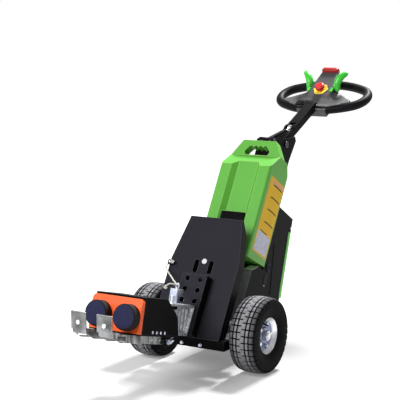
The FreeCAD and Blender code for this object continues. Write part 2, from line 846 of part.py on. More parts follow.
def cord_eye():
    """Bent eye on the panel's face that the release cord is tied to."""
    owner = on_panel("cord_eye")
    pad_circle(owner, "front", "-eye_side", "eye_up", "eye_wire + 1", "-8", "0")
    drawing = sketch_on(owner, "side", "-eye_side")
    draw_circle(drawing, "-8 - eye_radius", "eye_up", "eye_wire + eye_radius")
    pad(owner, drawing, "side", "eye_wire")
    pocket_circles(owner, "side", [("-8 - eye_radius", "eye_up")], "eye_radius - eye_wire / 2",
                   "-eye_side - 1", "eye_wire - eye_side + 1")


mast_panel()
mast_channel()
cord_eye()


# Housing behind the battery, with its two front rails, and the cover on its back.

def at_height(along, height):
    """How far up the lean a point is that stands at a height above the floor."""
    return "((%s) - pack_foot + (%s) * sin(lean)) / cos(lean)" % (height, along)


def in_lean(back, height):
    """A point given from the axle and the floor, in the battery's leaning frame."""
    along = "((%s) - pack_back) * cos(lean) - ((%s) - pack_foot) * sin(lean)" % (back, height)
    up = "((%s) - pack_back) * sin(lean) + ((%s) - pack_foot) * cos(lean)" % (back, height)
    return along, up


def rear_housing():
    owner = on_pack("rear_housing")
    corners = [("housing_front", at_height("housing_front", "deck_top")), ("housing_front", "housing_front - 107"),
               ("housing_seat", "0"), ("pack_depth + gap", "0"), ("pack_depth + gap", "housing_top"),
               ("housing_top_back", "housing_top"), ("housing_corner_back", "housing_corner_up"),
               in_lean("tail_back", "tail_height"), in_lean("tail_back", "deck_top")]
    pad_outline(owner, "side", corners, "-housing_width / 2", "housing_width / 2")
    half = "housing_width / 2 - rail_width"
    inner = "housing_front + void_depth"
    void = [("housing_front - 1", at_height("housing_front - 1", "deck_top - 1")),
            (inner, at_height(inner, "deck_top - 1")), (inner, "1"), ("housing_front - 1", "1")]
    pocket_outline(owner, "side", void, "-(%s)" % half, half)


def rear_cover():
    owner = on_pack("rear_cover")
    low_y, low_z = in_lean("tail_back", "tail_height")
    out = "cover_depth"
    slope = "(atan((%s - housing_corner_back) / (housing_corner_up - (%s))) / 1 deg)" % (low_y, low_z)
    step = ("%s * cos(%s)" % (out, slope), "%s * sin(%s)" % (out, slope))
    corners = [("housing_corner_back", "housing_corner_up"), (low_y, low_z),
               ("%s + %s" % (low_y, step[0]), "%s + %s + 12" % (low_z, step[1])),
               ("housing_corner_back + %s" % step[0], "housing_corner_up + %s - 12" % step[1])]
    pad_outline(owner, "side", corners, "cover_inset - housing_width / 2", "housing_width / 2 - cover_inset")


rear_housing()
rear_cover()


# Battery pack: a moulded shell with a recessed front, a facet under its carrying tab and a scalloped grip.

def grip_outline(drawing):
    """The grip hole, flat below and with four finger scallops along its upper edge."""
    half = "grip_width / 2"
    low = "grip_up - grip_height / 2"
    high = "grip_up + grip_height / 2"
    first = "%d * scallop"
    corners = [("-%s + 14" % half, low), ("%s - 14" % half, low), (half, "%s + 14" % low)]
    arcs = {1: "14", 2: "40"}
    shelf = "%s - 8" % high
    for step in (4, 2, 0, -2):
        corners.append((first % step, shelf))
        arcs[len(corners) - 1] = "scallop * 1.05"
    corners += [(first % -4, shelf), ("-" + half, "%s + 14" % low)]
    arcs[len(corners) - 2] = "40"
    arcs[len(corners) - 1] = "14"
    draw_outline(drawing, corners, arcs)


def battery_pack():
    owner = on_pack("battery_pack")
    corners = [("0", "0"), ("pack_depth", "pack_foot_lift"), ("pack_depth", "pack_back_top"), ("pack_top_back", "pack_top"),
               ("pack_top_front", "pack_top"), ("0", "pack_front_top")]
    pad_outline(owner, "side", corners, "-pack_width / 2", "pack_width / 2")
    round_edges(owner, "pack_round", lambda edge: runs_along(edge, 2))
    half = "pack_width / 2"
    corners = [("-" + half, "pack_top - pack_facet / 3"), (half, "pack_top - pack_facet / 3"), (half, "pack_top"),
               ("tab_top_width / 2", "tab_top"), ("-tab_top_width / 2", "tab_top"), ("-" + half, "pack_top")]
    pad_outline(owner, "front", corners, "pack_top_front", "tab_back")
    wide = "recess_width / 2"
    floor = "recess_floor_width / 2"
    corners = [("-%s - 1" % wide, "-1"), ("%s + 1" % wide, "-1"), (floor, "recess_depth"), ("-" + floor, "recess_depth")]
    pocket_outline(owner, "top", corners, "recess_foot", "pack_top + 5")
    corners = box_corners("-pocket_width / 2", "-1", "pocket_width / 2", "pocket_depth")
    pocket_outline(owner, "top", corners, "pocket_foot", "pocket_top")
    drawing = sketch_on(owner, "front", "pack_top_front - 1")
    grip_outline(drawing)
    pocket(owner, drawing, "front", "tab_back - pack_top_front + 2")


def battery_latch():
    """Latch block on a tongue that reaches from the panel's back into the pocket in the battery's front."""
    owner = on_pack("battery_latch")
    reach = "(pack_back + panel_ahead) * cos(lean) - (pack_foot - panel_foot) * sin(lean) - panel_wall"
    corners = box_corners("-(%s)" % reach, "latch_foot", "pocket_depth", "latch_top")
    pad_outline(owner, "side", corners, "-latch_width / 2", "latch_width / 2")
    corners = box_corners("-(%s) - 1" % reach, "latch_foot + 6", "-14", "latch_top + 1")
    pocket_outline(owner, "side", corners, "6 - latch_width / 2", "latch_width / 2 - 6")


battery_pack()
battery_latch()


# Post that carries the tiller and the strut.

def tiller_post():
    """Two cheeks on a foot, joined by a web behind the battery, with the bores of both cross pins."""
    owner = on_pack("tiller_post")
    cheek = [("post_front", "housing_top"), ("post_back", "housing_top"), ("post_back - post_taper", "post_bend"),
             ("pivot_along + horn_back", "pivot_up + horn_low"), ("pivot_along + horn_front", "pivot_up + horn_high"),
             ("pivot_along - cheek_lip", "pivot_up + cheek_rise"), ("anchor_along", "anchor_up + anchor_boss"),
             ("anchor_along - anchor_boss", "anchor_up"), ("tab_back + post_clear", "tab_top + post_clear"),
             ("tab_back + post_clear", "pack_top + 4 * post_clear"),
             ("pack_top_back + 1.4 * post_clear", "pack_top + 1.6 * post_clear"),
             ("post_front", "pack_back_top + post_clear")]
    outer = "post_width / 2"
    inner = "post_width / 2 - post_wall"
    pad_outline(owner, "side", box_corners("post_front", "housing_top", "post_back", "housing_top + post_wall"),
                "-" + outer, outer)
    pad_outline(owner, "side", cheek, "-" + outer, "-(%s)" % inner)
    pad_outline(owner, "side", cheek, inner, outer)
    web = box_corners("post_back - web_inset - post_wall", "housing_top", "post_back - web_inset", "post_web_top")
    pad_outline(owner, "side", web, "-" + outer, outer)
    pocket_circles(owner, "side", [("pivot_along", "pivot_up")], "pivot_pin + pin_play", "-post_width", "post_width")
    pocket_circles(owner, "side", [("anchor_along", "anchor_up")], "anchor_pin + pin_play", "-post_width", "post_width")


def cross_pin(label, along, up, radius, head):
    """Headed pin through both cheeks of the post."""
    owner = on_pack(label)
    half = "post_width / 2"
    pad_circle(owner, "side", along, up, radius, "-" + half, half)
    pad_circle(owner, "side", along, up, head, half, "%s + pin_head_wall" % half)
    pad_circle(owner, "side", along, up, head, "-%s - pin_head_wall" % half, "-" + half)


tiller_post()
cross_pin("tiller_pivot_pin", "pivot_along", "pivot_up", "pivot_pin", "pin_head")
cross_pin("strut_anchor_pin", "anchor_along", "anchor_up", "anchor_pin", "anchor_pin + 4")


# Tiller arm: a box section whose lower end is a fork round the strut.

def tiller_arm():
    owner = on_tiller("tiller_arm")
    corners = [("0", "-arm_top"), ("arm_length", "-arm_top"), ("arm_length", "arm_top"),
               ("strut_eye_along + 20", "arm_top"), ("strut_eye_along + 8", "strut_eye_above + 12"),
               ("strut_eye_along - 8", "strut_eye_above + 12"), ("strut_eye_along - 20", "arm_top"), ("0", "arm_top")]
    pad_outline(owner, "side", corners, "-arm_width / 2", "arm_width / 2", {7: "arm_top * 1.001"})
    corners = box_corners("-fork_slot / 2", "-arm_depth", "fork_slot / 2", "fork_length")
    drawing = sketch_on(owner, "top", "-arm_depth")
    draw_outline(drawing, corners)
    pocket(owner, drawing, "top", "arm_depth * 2")
    pocket_circles(owner, "side", [("0", "0")], "pivot_pin + pin_play", "-arm_width", "arm_width")
    pad_circle(owner, "side", "strut_eye_along", "strut_eye_above", "strut_pin", "-arm_width / 2 - 3", "arm_width / 2 + 3")


def strut(label):
    return body(label, y="anchor_y", z="anchor_z", turn="strut_rise")


def strut_barrel():
    """Ribbed barrel, turned about its length, on an eye round the anchor pin."""
    owner = strut("strut_barrel")
    inner = "rod_radius + pin_play"
    corners = [(inner, "rod_bore_start"), (inner, "strut_end"), ("strut_radius - strut_groove", "strut_end")]
    steps = int((number("strut_end") - number("strut_start")) / number("strut_pitch"))
    for step in range(steps):
        corners.append(("strut_radius", "strut_end - strut_pitch * %s" % (step + 0.3)))
        corners.append(("strut_radius", "strut_end - strut_pitch * %s" % (step + 0.7)))
        corners.append(("strut_radius - strut_groove", "strut_end - strut_pitch * %d" % (step + 1)))
    corners += [("strut_radius - strut_groove", "strut_start / 2"), ("0", "strut_start / 2"), ("0", "rod_bore_start")]
    turned(owner, "top", corners, axis="V_Axis")
    pad_circle(owner, "side", "0", "0", "anchor_pin + 7", "-fork_slot / 2 + 5", "fork_slot / 2 - 5")
    pocket_circles(owner, "side", [("0", "0")], "anchor_pin + pin_play", "-fork_slot", "fork_slot")


def strut_rod():
    """Rod out of the barrel, its eye round the pin across the arm's fork."""
    owner = strut("strut_rod")
    corners = [("0", "rod_start"), ("rod_radius", "rod_start"), ("rod_radius", "strut_length - rod_eye_hole - 2"),
               ("0", "strut_length - rod_eye_hole - 2")]
    turned(owner, "top", corners, axis="V_Axis")
    half = "rod_eye_width / 2"
    pad_circle(owner, "side", "strut_length", "0", "rod_eye_radius", "-" + half, half)
    pocket_circles(owner, "side", [("strut_length", "0")], "rod_eye_hole", "-rod_eye_width", "rod_eye_width")


tiller_arm()
strut_barrel()
strut_rod()


# Oval handle round the head.

def oval_path(drawing):
    """Four tangent arcs: two wide ones front and rear, and a tighter one at each end."""
    side = "(ring_half_width - ring_end_curve)"
    rise = "(ring_half_depth - ring_end_curve)"
    drop = "((%s ^ 2 - %s ^ 2) / (2 * %s))" % (side, rise, rise)
    wide = "(ring_half_depth + %s)" % drop
    reach = "(%s + ring_end_curve / sqrt(%s ^ 2 + %s ^ 2) * %s)" % (side, side, drop, side)
    lift = "(ring_end_curve / sqrt(%s ^ 2 + %s ^ 2) * %s)" % (side, drop, drop)
    low = "ring_along - ring_half_depth"
    corners = [("0", low), (reach, "ring_along - %s" % lift), (reach, "ring_along + %s" % lift),
               ("-" + reach, "ring_along + %s" % lift), ("-" + reach, "ring_along - %s" % lift)]
    arcs = {0: wide, 1: "ring_end_curve", 2: wide, 3: "ring_end_curve", 4: wide}
    draw_outline(drawing, corners, arcs)


def oval_tube(owner, radius):
    path = sketch_on(owner, "top", "-ring_drop")
    oval_path(path)
    section = sketch_on(owner, "side")
    draw_circle(section, "ring_along - ring_half_depth", "-ring_drop", radius)
    doc.recompute()
    feature = owner.newObject("PartDesign::AdditivePipe", "Oval")
    feature.Profile = section
    feature.Spine = (path, ["Edge%d" % (index + 1) for index in range(len(path.Shape.Edges))])
    return settle(owner, feature)


oval_tube(on_tiller("handle_ring"), "ring_tube")


def round_handle(label, shell):
    """A sub-part made as its own shell less the handle's tube with a small gap round it."""
    nodes.remove(shell)
    tunnel = on_tiller(label + "_tunnel")
    nodes.remove(tunnel)
    oval_tube(tunnel, "ring_tube + gap")
    cut = doc.addObject("Part::Cut", label)
    cut.Label = label
    cut.Base = shell
    cut.Tool = tunnel
    doc.recompute()
    nodes.append(cut)
    return cut


# Head of the tiller with its controls.

def head_console():
    shell = on_tiller("head_shell")
    corners = [("arm_length", "-arm_top"), ("head_nose_along", "-head_belly"), ("head_bend_along - 30", "-head_belly"),
               ("head_bend_along + 30", "-head_belly * 0.7"),
               ("head_tip_along - 20", "head_tip_above - head_tip_wall - 22"),
               ("head_tip_along", "head_tip_above - head_tip_wall"), ("head_tip_along", "head_tip_above"),
               ("head_bend_along", "head_bend_above"), ("head_nose_along + 24", "-head_chin"),
               ("arm_length", "-head_chin")]
    half = "head_width / 2"
    pad_outline(shell, "side", corners, "-" + half, half)
    for side in (-1, 1):
        outer = "%d * (%s + 1)" % (side, half)
        corners = [(outer, "head_bend_along - 40"), ("%d * %s" % (side, half), "head_bend_along - 40"),
                   ("%d * head_tip_width / 2" % side, "head_tip_along"),
                   ("%d * head_tip_width / 2" % side, "head_tip_along + 1"), (outer, "head_tip_along + 1")]
        pocket_outline(shell, "top", corners, "-head_belly - 1", "head_tip_above + 1")
    shoulder = [("head_width / 2", "arm_length + web_near"), ("web_width / 2 - 11", "arm_length + web_near + 22"),
                ("web_width / 2", "arm_length + web_far - 50"), ("head_width / 2 + 8", "arm_length + web_far")]
    corners = shoulder + [("-(%s)" % x, along) for x, along in reversed(shoulder)]
    pad_outline(shell, "top", corners, "web_foot - ring_drop", "web_top")
    round_handle("head_console", shell)


head_console()


def on_slope(label, along):
    """A body on the head's sloping top face, +Z square to the face."""
    rise = "head_bend_above + (%s - head_bend_along) * tan(head_slope)" % along
    y = "pivot_y + %s * cos(handle_rise) - (%s) * sin(handle_rise)" % (along, rise)
    z = "pivot_z + %s * sin(handle_rise) + (%s) * cos(handle_rise)" % (along, rise)
    return body(label, y=y, z=z, turn="handle_rise + head_slope")


def emergency_stop():
    plate = on_slope("emergency_plate", "button_along")
    corners = [("plate_size * cos(%d)" % angle, "plate_size * sin(%d)" % angle) for angle in range(0, 360, 60)]
    pad_outline(plate, "top", corners, "0", "plate_wall")
    button = on_slope("emergency_button", "button_along")
    rise = "collar_height + plate_wall"
    top = "%s + button_height" % rise
    corners = [("0", "plate_wall"), ("collar_radius", "plate_wall"), ("collar_radius - 2", rise),
               ("button_radius", rise), ("button_radius", "%s - 6" % top), ("button_radius - 6", top), ("0", top)]
    turned(button, "front", corners, axis="V_Axis", arcs={4: "6.5"})


emergency_stop()


def tip_band():
    """Red press-to-stop band across the tip of the head."""
    owner = on_tiller("tip_switch_band")
    low = "head_tip_above - head_tip_wall + 2"
    corners = [("head_tip_along", low), ("head_tip_along + band_wall", "%s + 4" % low),
               ("head_tip_along + band_wall", "head_tip_above - 3"), ("head_tip_along", "head_tip_above + 2")]
    half = "head_tip_width / 2"
    pad_outline(owner, "side", corners, "-" + half, half)


def lever(label, side):
    """Drive lever: a collar round the handle beside the head and a thumb horn that rises from it."""
    shell = on_tiller(label + "_shell")
    rear = "ring_along + ring_half_depth - 11"
    drop = "-ring_drop"
    start, end = ("lever_start", "lever_end") if side > 0 else ("-lever_end", "-lever_start")
    pad_circle(shell, "side", rear, drop, "lever_collar", start, end)
    horn = [("lever_start", "-ring_drop - lever_foot"), ("lever_end - 8", "-ring_drop - lever_foot"),
            ("lever_end", "-ring_drop"), ("lever_end", "lever_rise - 30"), ("lever_out", "lever_rise - 14"),
            ("lever_out - 5", "lever_rise"), ("lever_start + 15", "lever_rise + 2"), ("lever_start", "lever_rise - 20")]
    back = rear + " - lever_collar"
    pad_outline(shell, "front", mirrored(side, horn), back, "%s + lever_thick" % back)
    round_handle(label, shell)


def rocker(label, side):
    owner = on_slope(label, "rocker_along")
    x = "%d * rocker_side" % side
    corners, arcs = rounded_corners("%s - 6" % x, "-rocker_length / 2", "%s + 6" % x, "rocker_length / 2", "4")
    pad_outline(owner, "top", corners, "0", "rocker_height", arcs)


def key_switch():
    """Key switch block on the left shoulder, in front of the head's rising face."""
    owner = on_tiller("key_switch")
    start, end = "arm_length + web_near", "arm_length + web_near + key_depth"
    pad_outline(owner, "top", box_corners("-key_side - key_width", start, "-key_side", end), "web_top", "web_top + key_rise")
    pad_circle(owner, "top", "-key_side - key_width / 2", "(%s + %s) / 2" % (start, end), "key_barrel",
               "web_top + key_rise", "web_top + key_rise + 3")


tip_band()
for name, side in (("left", -1), ("right", 1)):
    lever("drive_lever_" + name, side)
    rocker("thumb_rocker_" + name, side)
key_switch()


# Hitch on the mast channel, and the pin that locks the tool in it.

def seat_at(height):
    """Where the channel's face is, in the tool's frame, at a height above the pin's hole."""
    return "(seat_y + ((%s) - seat_z) * tan(lean - tool_pitch))" % height


def hitch_bracket():
    owner = on_tool("hitch_bracket")
    half = "hitch_width / 2"
    floor = "hitch_plate - hitch_height"
    corners = [("-hitch_nose", "0"), (seat_at("0"), "0"), (seat_at("-hitch_height"), "-hitch_height"),
               ("6", "-hitch_height"), ("6", floor), (seat_at(floor) + " - 6", floor),
               (seat_at("-hitch_plate") + " - 6", "-hitch_plate"), ("-hitch_nose", "-hitch_plate")]
    pad_outline(owner, "side", corners, "-" + half, half)
    jaw = "jaw_width / 2"
    corners = [("jaw_start", floor), (seat_at(floor) + " - 5", floor), (seat_at("-hitch_plate") + " - 5", "-hitch_plate"),
               ("jaw_start", "-hitch_plate")]
    pad_outline(owner, "side", corners, "-" + jaw, jaw)
    for step in range(3):
        left = "jaw_start + jaw_rib + %d * jaw_rib_pitch" % step
        hollow = box_corners(left, "%s + jaw_border" % floor, "%s + jaw_rib" % left, "-hitch_plate - jaw_border")
        pocket_outline(owner, "side", hollow, "%s - jaw_hollow" % jaw, "%s + 1" % jaw)
        pocket_outline(owner, "side", hollow, "-%s - 1" % jaw, "jaw_hollow - %s" % jaw)
    pocket_circles(owner, "top", [("lock_side", "lock_back")], "lock_pin + gap", "-hitch_plate - 1", "1")


def hitch_pin_unit():
    """Locking pin with its body, its release block and the ring that the cord pulls."""
    owner = on_tool("hitch_pin_unit")
    pad_circle(owner, "top", "lock_side", "lock_back", "lock_pin", "-hitch_height / 2", "1")
    pad_circle(owner, "top", "lock_side", "lock_back", "lock_radius", "0", "lock_body")
    corners, arcs = rounded_corners("lock_side - lock_block_width / 2", "lock_back - lock_block_ahead",
                                    "lock_side + lock_block_width / 2", "lock_back + lock_block_behind", "3")
    top = "(lock_body + lock_block_height)"
    pad_outline(owner, "top", corners, "lock_body", top, arcs)
    pad_circle(owner, "top", "lock_side", "lock_ring_back", "lock_knob", top, "%s + lock_knob_height" % top)
    up = "%s + lock_knob_height + lock_ring" % top
    pad_circle(owner, "front", "lock_side", up, "lock_ring + lock_ring_wire",
               "lock_ring_back - lock_ring_wire", "lock_ring_back + lock_ring_wire")
    pocket_circles(owner, "front", [("lock_side", up)], "lock_ring - lock_ring_wire / 2",
                   "lock_ring_back - lock_ring_wire - 1", "lock_ring_back + lock_ring_wire + 1")


hitch_bracket()
hitch_pin_unit()


# Release cord, from its knot in the panel's eye to the ring on the locking pin and a short tail.

CORD_POINTS = [
    (-123, -226.0, 381.0), (-141.5, -226.6, 376.8), (-147, -236.5, 361.5), (-134, -253, 354.5), (-110, -278, 350.5),
    (-75, -315, 346.5), (-38, -354, 341), (-8, -384, 338.5), (8, -399, 338.3), (15.8, -412.2, 340.2), (16, -425, 344.5),
    (10, -435, 350), (1, -442, 351), (-7, -447, 345.5), (-11, -451, 337)]


def cord_path(points):
    """Straight runs joined by tangent arcs, each as large as its two runs allow."""
    edges, radii = [], []
    start = points[0]
    for before, corner, after in zip(points, points[1:], points[2:]):
        back, ahead = (before - corner), (after - corner)
        reach = 0.45 * min(back.Length, ahead.Length)
        half_turn = (math.pi - back.getAngle(ahead)) / 2
        radii.append(reach / math.tan(half_turn))
        back, ahead = back.normalize(), ahead.normalize()
        middle = (back + ahead).normalize()
        first, last = corner + back * reach, corner + ahead * reach
        top = corner + middle * (radii[-1] / math.cos(half_turn) - radii[-1])
        edges.append(Part.LineSegment(start, first).toShape())
        edges.append(Part.Arc(first, top, last).toShape())
        start = last
    edges.append(Part.LineSegment(start, points[-1]).toShape())
    return Part.Wire(edges), radii


def release_cord():
    points = [Vector(*point) for point in CORD_POINTS]
    path, radii = cord_path(points)
    radius = number("cord_radius")
    section = Part.Wire(Part.Circle(points[0], points[1] - points[0], radius).toShape())
    cord = doc.addObject("Part::Feature", "release_cord")
    cord.Shape = path.makePipeShell([section], True, False)
    nodes.append(cord)
    print("release_cord: %.1f mm long, radii %s, volume %.4f of section times length" % (
        path.Length, " ".join("%.0f" % radius for radius in radii),
        cord.Shape.Volume / (math.pi * radius ** 2 * path.Length)))


release_cord()


# Coupling tool: a box pinned in the hitch, its front with two rubber buffers, and its base.

def coupling_box():
    """Folded steel box, open in front, below and behind; its bulkhead carries the tongue that the pin holds."""
    owner = on_tool("coupling_box")
    half = "box_width / 2"
    corners = [("-box_start", "-box_floor"), ("-box_back_floor", "-box_floor"), ("-box_shoulder", "-box_shoulder_drop"),
               ("-box_back_top", "box_top"), ("-box_start", "box_top")]
    pad_outline(owner, "side", corners, "-" + half, half)
    corners = box_corners("-box_start - 1", "-box_floor - 1", "1 - box_back_floor", "box_top - box_wall")
    pocket_outline(owner, "side", corners, "box_wall - " + half, "%s - box_wall" % half)
    rear = "-box_back_top"
    corners = box_corners("%s - box_wall" % rear, "-box_floor", rear, "box_top - box_wall / 2")
    pad_outline(owner, "side", corners, "box_wall / 2 - " + half, "%s - box_wall / 2" % half)
    tongue = "tongue_width / 2"
    floor = "hitch_plate - hitch_height"
    pad_outline(owner, "side", box_corners(rear, floor, "jaw_start", "-hitch_plate"), "-" + tongue, tongue)
    corners = box_corners(rear, "%s + tongue_flange" % floor, "jaw_start + 1", "-hitch_plate - tongue_flange")
    pocket_outline(owner, "side", corners, "tongue_web / 2", "%s + 1" % tongue)
    pocket_outline(owner, "side", corners, "-%s - 1" % tongue, "-tongue_web / 2")
    pocket_circles(owner, "top", [("lock_side", "lock_back")], "lock_pin + gap", "-hitch_height / 2 - 1", "1 - hitch_plate")


def coupling_front():
    owner = on_tool("coupling_front")
    half = "front_width / 2"
    corners = [("-" + half, "-box_floor"), (half, "-box_floor"), (half, "front_top - front_round"),
               ("%s - front_round" % half, "front_top"), ("front_round - %s" % half, "front_top"),
               ("-" + half, "front_top - front_round")]
    pad_outline(owner, "front", corners, "-box_start - front_wall", "-box_start", {2: "front_round", 4: "front_round"})
    face = "-box_start - front_wall"
    corners = [("%s - 1" % face, "front_top + 1"), ("%s - 1" % face, "front_top - front_lip"),
               (face, "front_top - front_lip"), ("%s + 8" % face, "front_top + 1")]
    pocket_outline(owner, "side", corners, "-%s - 1" % half, "%s + 1" % half)


def buffer(label, side):
    owner = on_tool(label)
    back = "-box_start - front_wall"
    pad_circle(owner, "front", "%d * buffer_spread" % side, "-buffer_drop", "buffer_radius", "%s - buffer_height" % back, back)
    front = number("-box_start - front_wall - buffer_height")
    round_edges(owner, "buffer_round", lambda edge: abs(edge.BoundBox.YMax - front) < 0.01)


def tool_base():
    """Plate under the box. Two studs through each sliding arm's slot carry it, and an ear beside it its clamp screw."""
    owner = on_tool("tool_base")
    half = "box_width / 2"
    front = "-box_start - front_wall"
    pad_outline(owner, "side", box_corners(front, "-base_floor", "-base_end", "-box_floor"), "-" + half, half)
    middle = "(arm_inside + arm_outside) / 2"
    under = "-slide_top - slide_wall - slide_play"
    for side in (-1, 1):
        for back in ("-stud_front", "-stud_rear"):
            pad_circle(owner, "top", "%d * %s" % (side, middle), back, "stud_radius", under, "-base_floor")
            pad_circle(owner, "top", "%d * %s" % (side, middle), back, "stud_washer",
                       "%s - stud_head" % under, under)
        start, end = ear_span(side)
        corners = box_corners("-screw_back - ear_length / 2", "-base_floor - ear_drop + base_plate",
                              "-screw_back + ear_length / 2", "base_plate - base_floor")
        pad_outline(owner, "side", corners, start, end)
        pocket_circles(owner, "side", [("-screw_back", "-screw_drop")], "clamp_radius + pin_play", start, end)


def ear_span(side):
    """The ear's two faces across the machine."""
    near, far = "arm_outside + ear_gap", "arm_outside + ear_gap + ear_wall"
    return (near, far) if side > 0 else ("-(%s)" % far, "-(%s)" % near)


def hook_arm(label, side):
    """Sliding arm: a channel open below, with a slot in its web and a bent hook plate on its front end."""
    owner = on_tool(label)
    start, end = ("arm_inside", "arm_outside") if side > 0 else ("-arm_outside", "-arm_inside")
    middle = "%d * (arm_inside + arm_outside) / 2" % side
    top = "-slide_top"
    low = "-slide_floor"
    corners = [("hook_y + hook_plate", top), ("hook_y + hook_plate + 5", "%s - 12" % top),
               ("hook_y + slide_chamfer + hook_plate", low), ("-slide_tail - slide_tail_slant", low),
               ("-slide_tail", top)]
    pad_outline(owner, "side", corners, start, end)
    corners = box_corners("%s + slide_wall" % start, "hook_y + 2 * hook_plate + 10", "%s - slide_wall" % end, "0")
    pocket_outline(owner, "top", corners, "%s - 1" % low, "%s - slide_wall" % top)
    half = "slide_slot / 2"
    corners = box_corners("%s - %s" % (middle, half), "-stud_front - slot_spare_front", "%s + %s" % (middle, half),
                          "-stud_rear + slot_spare_rear")
    pocket_outline(owner, "top", corners, "%s - slide_wall - 1" % top, "%s + 1" % top)
    corners = box_corners("-window_start", "%s - 5 - window_height" % top, "window_length - window_start", "%s - 5" % top)
    pocket_outline(owner, "side", corners, "%s - 1" % start, "%s + 1" % end)
    rise = ("hook_height * sin(tool_pitch)", "hook_height * cos(tool_pitch)")
    thick = ("hook_plate * cos(tool_pitch)", "hook_plate * sin(tool_pitch)")
    inner = "hook_plate * (1 - sin(tool_pitch)) / cos(tool_pitch)"
    corners = [("hook_y", top), ("hook_y + hook_foot_length", top), ("hook_y + hook_foot_length", "%s + hook_plate" % top),
               ("hook_y + %s - %s * sin(tool_pitch)" % (thick[0], inner), "%s + hook_plate" % top),
               ("hook_y + %s - %s" % (thick[0], rise[0]), "%s + %s + %s" % (top, thick[1], rise[1])),
               ("hook_y - %s" % rise[0], "%s + %s" % (top, rise[1]))]
    start, end = ("hook_inside", "hook_outside") if side > 0 else ("-hook_outside", "-hook_inside")
    pad_outline(owner, "side", corners, start, end)


def clamp_screw(label, side):
    """Wing screw through the base's ear, its tip just off the sliding arm."""
    owner = on_tool(label)
    ear = "(arm_outside + ear_gap + ear_wall)"
    start, end = "arm_outside + gap", "%s + collar_length + wing_length" % ear
    collar, wings = (ear, "%s + collar_length" % ear), ("%s + collar_length / 2" % ear, end)
    if side < 0:
        start, end = "-(%s)" % end, "-(%s)" % start
        collar, wings = ("-(%s)" % collar[1], "-(%s)" % collar[0]), ("-(%s)" % wings[1], "-(%s)" % wings[0])
    pad_circle(owner, "side", "-screw_back", "-screw_drop", "clamp_radius", start, end)
    pad_circle(owner, "side", "-screw_back", "-screw_drop", "collar_wide", *collar)
    half = "wing_wall / 2"
    wing = [("-screw_back - wing_reach", "-screw_drop + wing_rise - %s" % half),
            ("-screw_back", "-screw_drop - wing_wall"), ("-screw_back + wing_reach", "-screw_drop + wing_rise - %s" % half),
            ("-screw_back + wing_reach", "-screw_drop + wing_rise + %s" % half),
            ("-screw_back", "-screw_drop + wing_wall"), ("-screw_back - wing_reach", "-screw_drop + wing_rise + %s" % half)]
    pad_outline(owner, "side", wing, *wings)


coupling_box()
coupling_front()
tool_base()
for name, side in (("left", -1), ("right", 1)):
    buffer("buffer_" + name, side)
    hook_arm("hook_arm_" + name, side)
    clamp_screw("clamp_screw_" + name, side)


# Export.

doc.recompute()
for thing in doc.Objects:
    if "Invalid" in thing.State or "Error" in thing.State:
        raise RuntimeError("%s is %s" % (thing.Label, thing.State))
os.makedirs("parts", exist_ok=True)
for node in nodes:
    shape = node.Shape
    if shape.isNull() or not shape.isValid():
        raise RuntimeError("%s has no valid shape" % node.Label)
    shape.exportStep("parts/%s.step" % node.Label)
whole = Part.makeCompound([node.Shape for node in nodes])
box = whole.BoundBox
print("%d nodes, X %.1f..%.1f, Y %.1f..%.1f, Z %.1f..%.1f, %.4f m3" % (
    len(nodes), box.XMin, box.XMax, box.YMin, box.YMax, box.ZMin, box.ZMax, whole.Volume / 1e9))
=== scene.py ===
import math

import bpy
import numpy as np
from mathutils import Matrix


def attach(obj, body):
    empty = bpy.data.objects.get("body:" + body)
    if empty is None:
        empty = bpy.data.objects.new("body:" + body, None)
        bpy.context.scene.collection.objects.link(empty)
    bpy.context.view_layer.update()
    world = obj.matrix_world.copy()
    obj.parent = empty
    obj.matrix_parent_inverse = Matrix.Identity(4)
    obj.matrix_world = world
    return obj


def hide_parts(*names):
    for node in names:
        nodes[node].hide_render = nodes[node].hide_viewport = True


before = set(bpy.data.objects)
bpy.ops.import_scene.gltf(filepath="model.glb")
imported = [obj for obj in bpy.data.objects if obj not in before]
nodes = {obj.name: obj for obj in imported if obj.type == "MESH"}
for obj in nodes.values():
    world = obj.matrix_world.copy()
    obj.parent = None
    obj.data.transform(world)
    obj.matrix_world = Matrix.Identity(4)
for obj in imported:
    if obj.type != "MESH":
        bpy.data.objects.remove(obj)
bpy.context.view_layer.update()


# Stage. A studio floor that shows white yet takes the tug's shadow, a wide soft lamp in front on the left, a
# small one high behind that draws the shadow forward, and a long-lens camera at standing height.

def tone(red, green, blue):
    """A colour in screen values, 0 to 255, as linear light: ((v / 255 + 0.055) / 1.055) ** 2.4."""
    return (*(((np.array((red, green, blue)) / 255 + 0.055) / 1.055) ** 2.4), 1.0)


def add(finish, kind, inputs=(), **settings):
    """One shader node. Inputs map a socket's name or number to a value or to another node's output."""
    made = finish.node_tree.nodes.new("ShaderNode" + kind)
    for name, value in settings.items():
        setattr(made, name, value)
    for socket, value in dict(inputs).items():
        if isinstance(value, bpy.types.NodeSocket):
            finish.node_tree.links.new(value, made.inputs[socket])
        else:
            made.inputs[socket].default_value = value
    return made


def new_finish(name, **sockets):
    """An empty finish: its material, its shader with those socket values, and its Object coordinates."""
    finish = bpy.data.materials.new(name)
    finish.use_nodes = True
    shader = finish.node_tree.nodes["Principled BSDF"]
    for socket, value in sockets.items():
        shader.inputs[socket.replace("_", " ")].default_value = value
    return finish, shader, add(finish, "TexCoord").outputs["Object"]


def wire(finish, shader, **sockets):
    """Links nodes' outputs to the shader's sockets."""
    for socket, output in sockets.items():
        finish.node_tree.links.new(output, shader.inputs[socket.replace("_", " ")])


def noise(finish, place, scale, detail=2.0, harshness=0.5):
    """Cloudy noise from 0 to 1 in an object's own coordinates, in scale lumps a metre."""
    return add(finish, "TexNoise", {"Vector": place, "Scale": scale, "Detail": detail,
                                    "Roughness": harshness}).outputs[0]


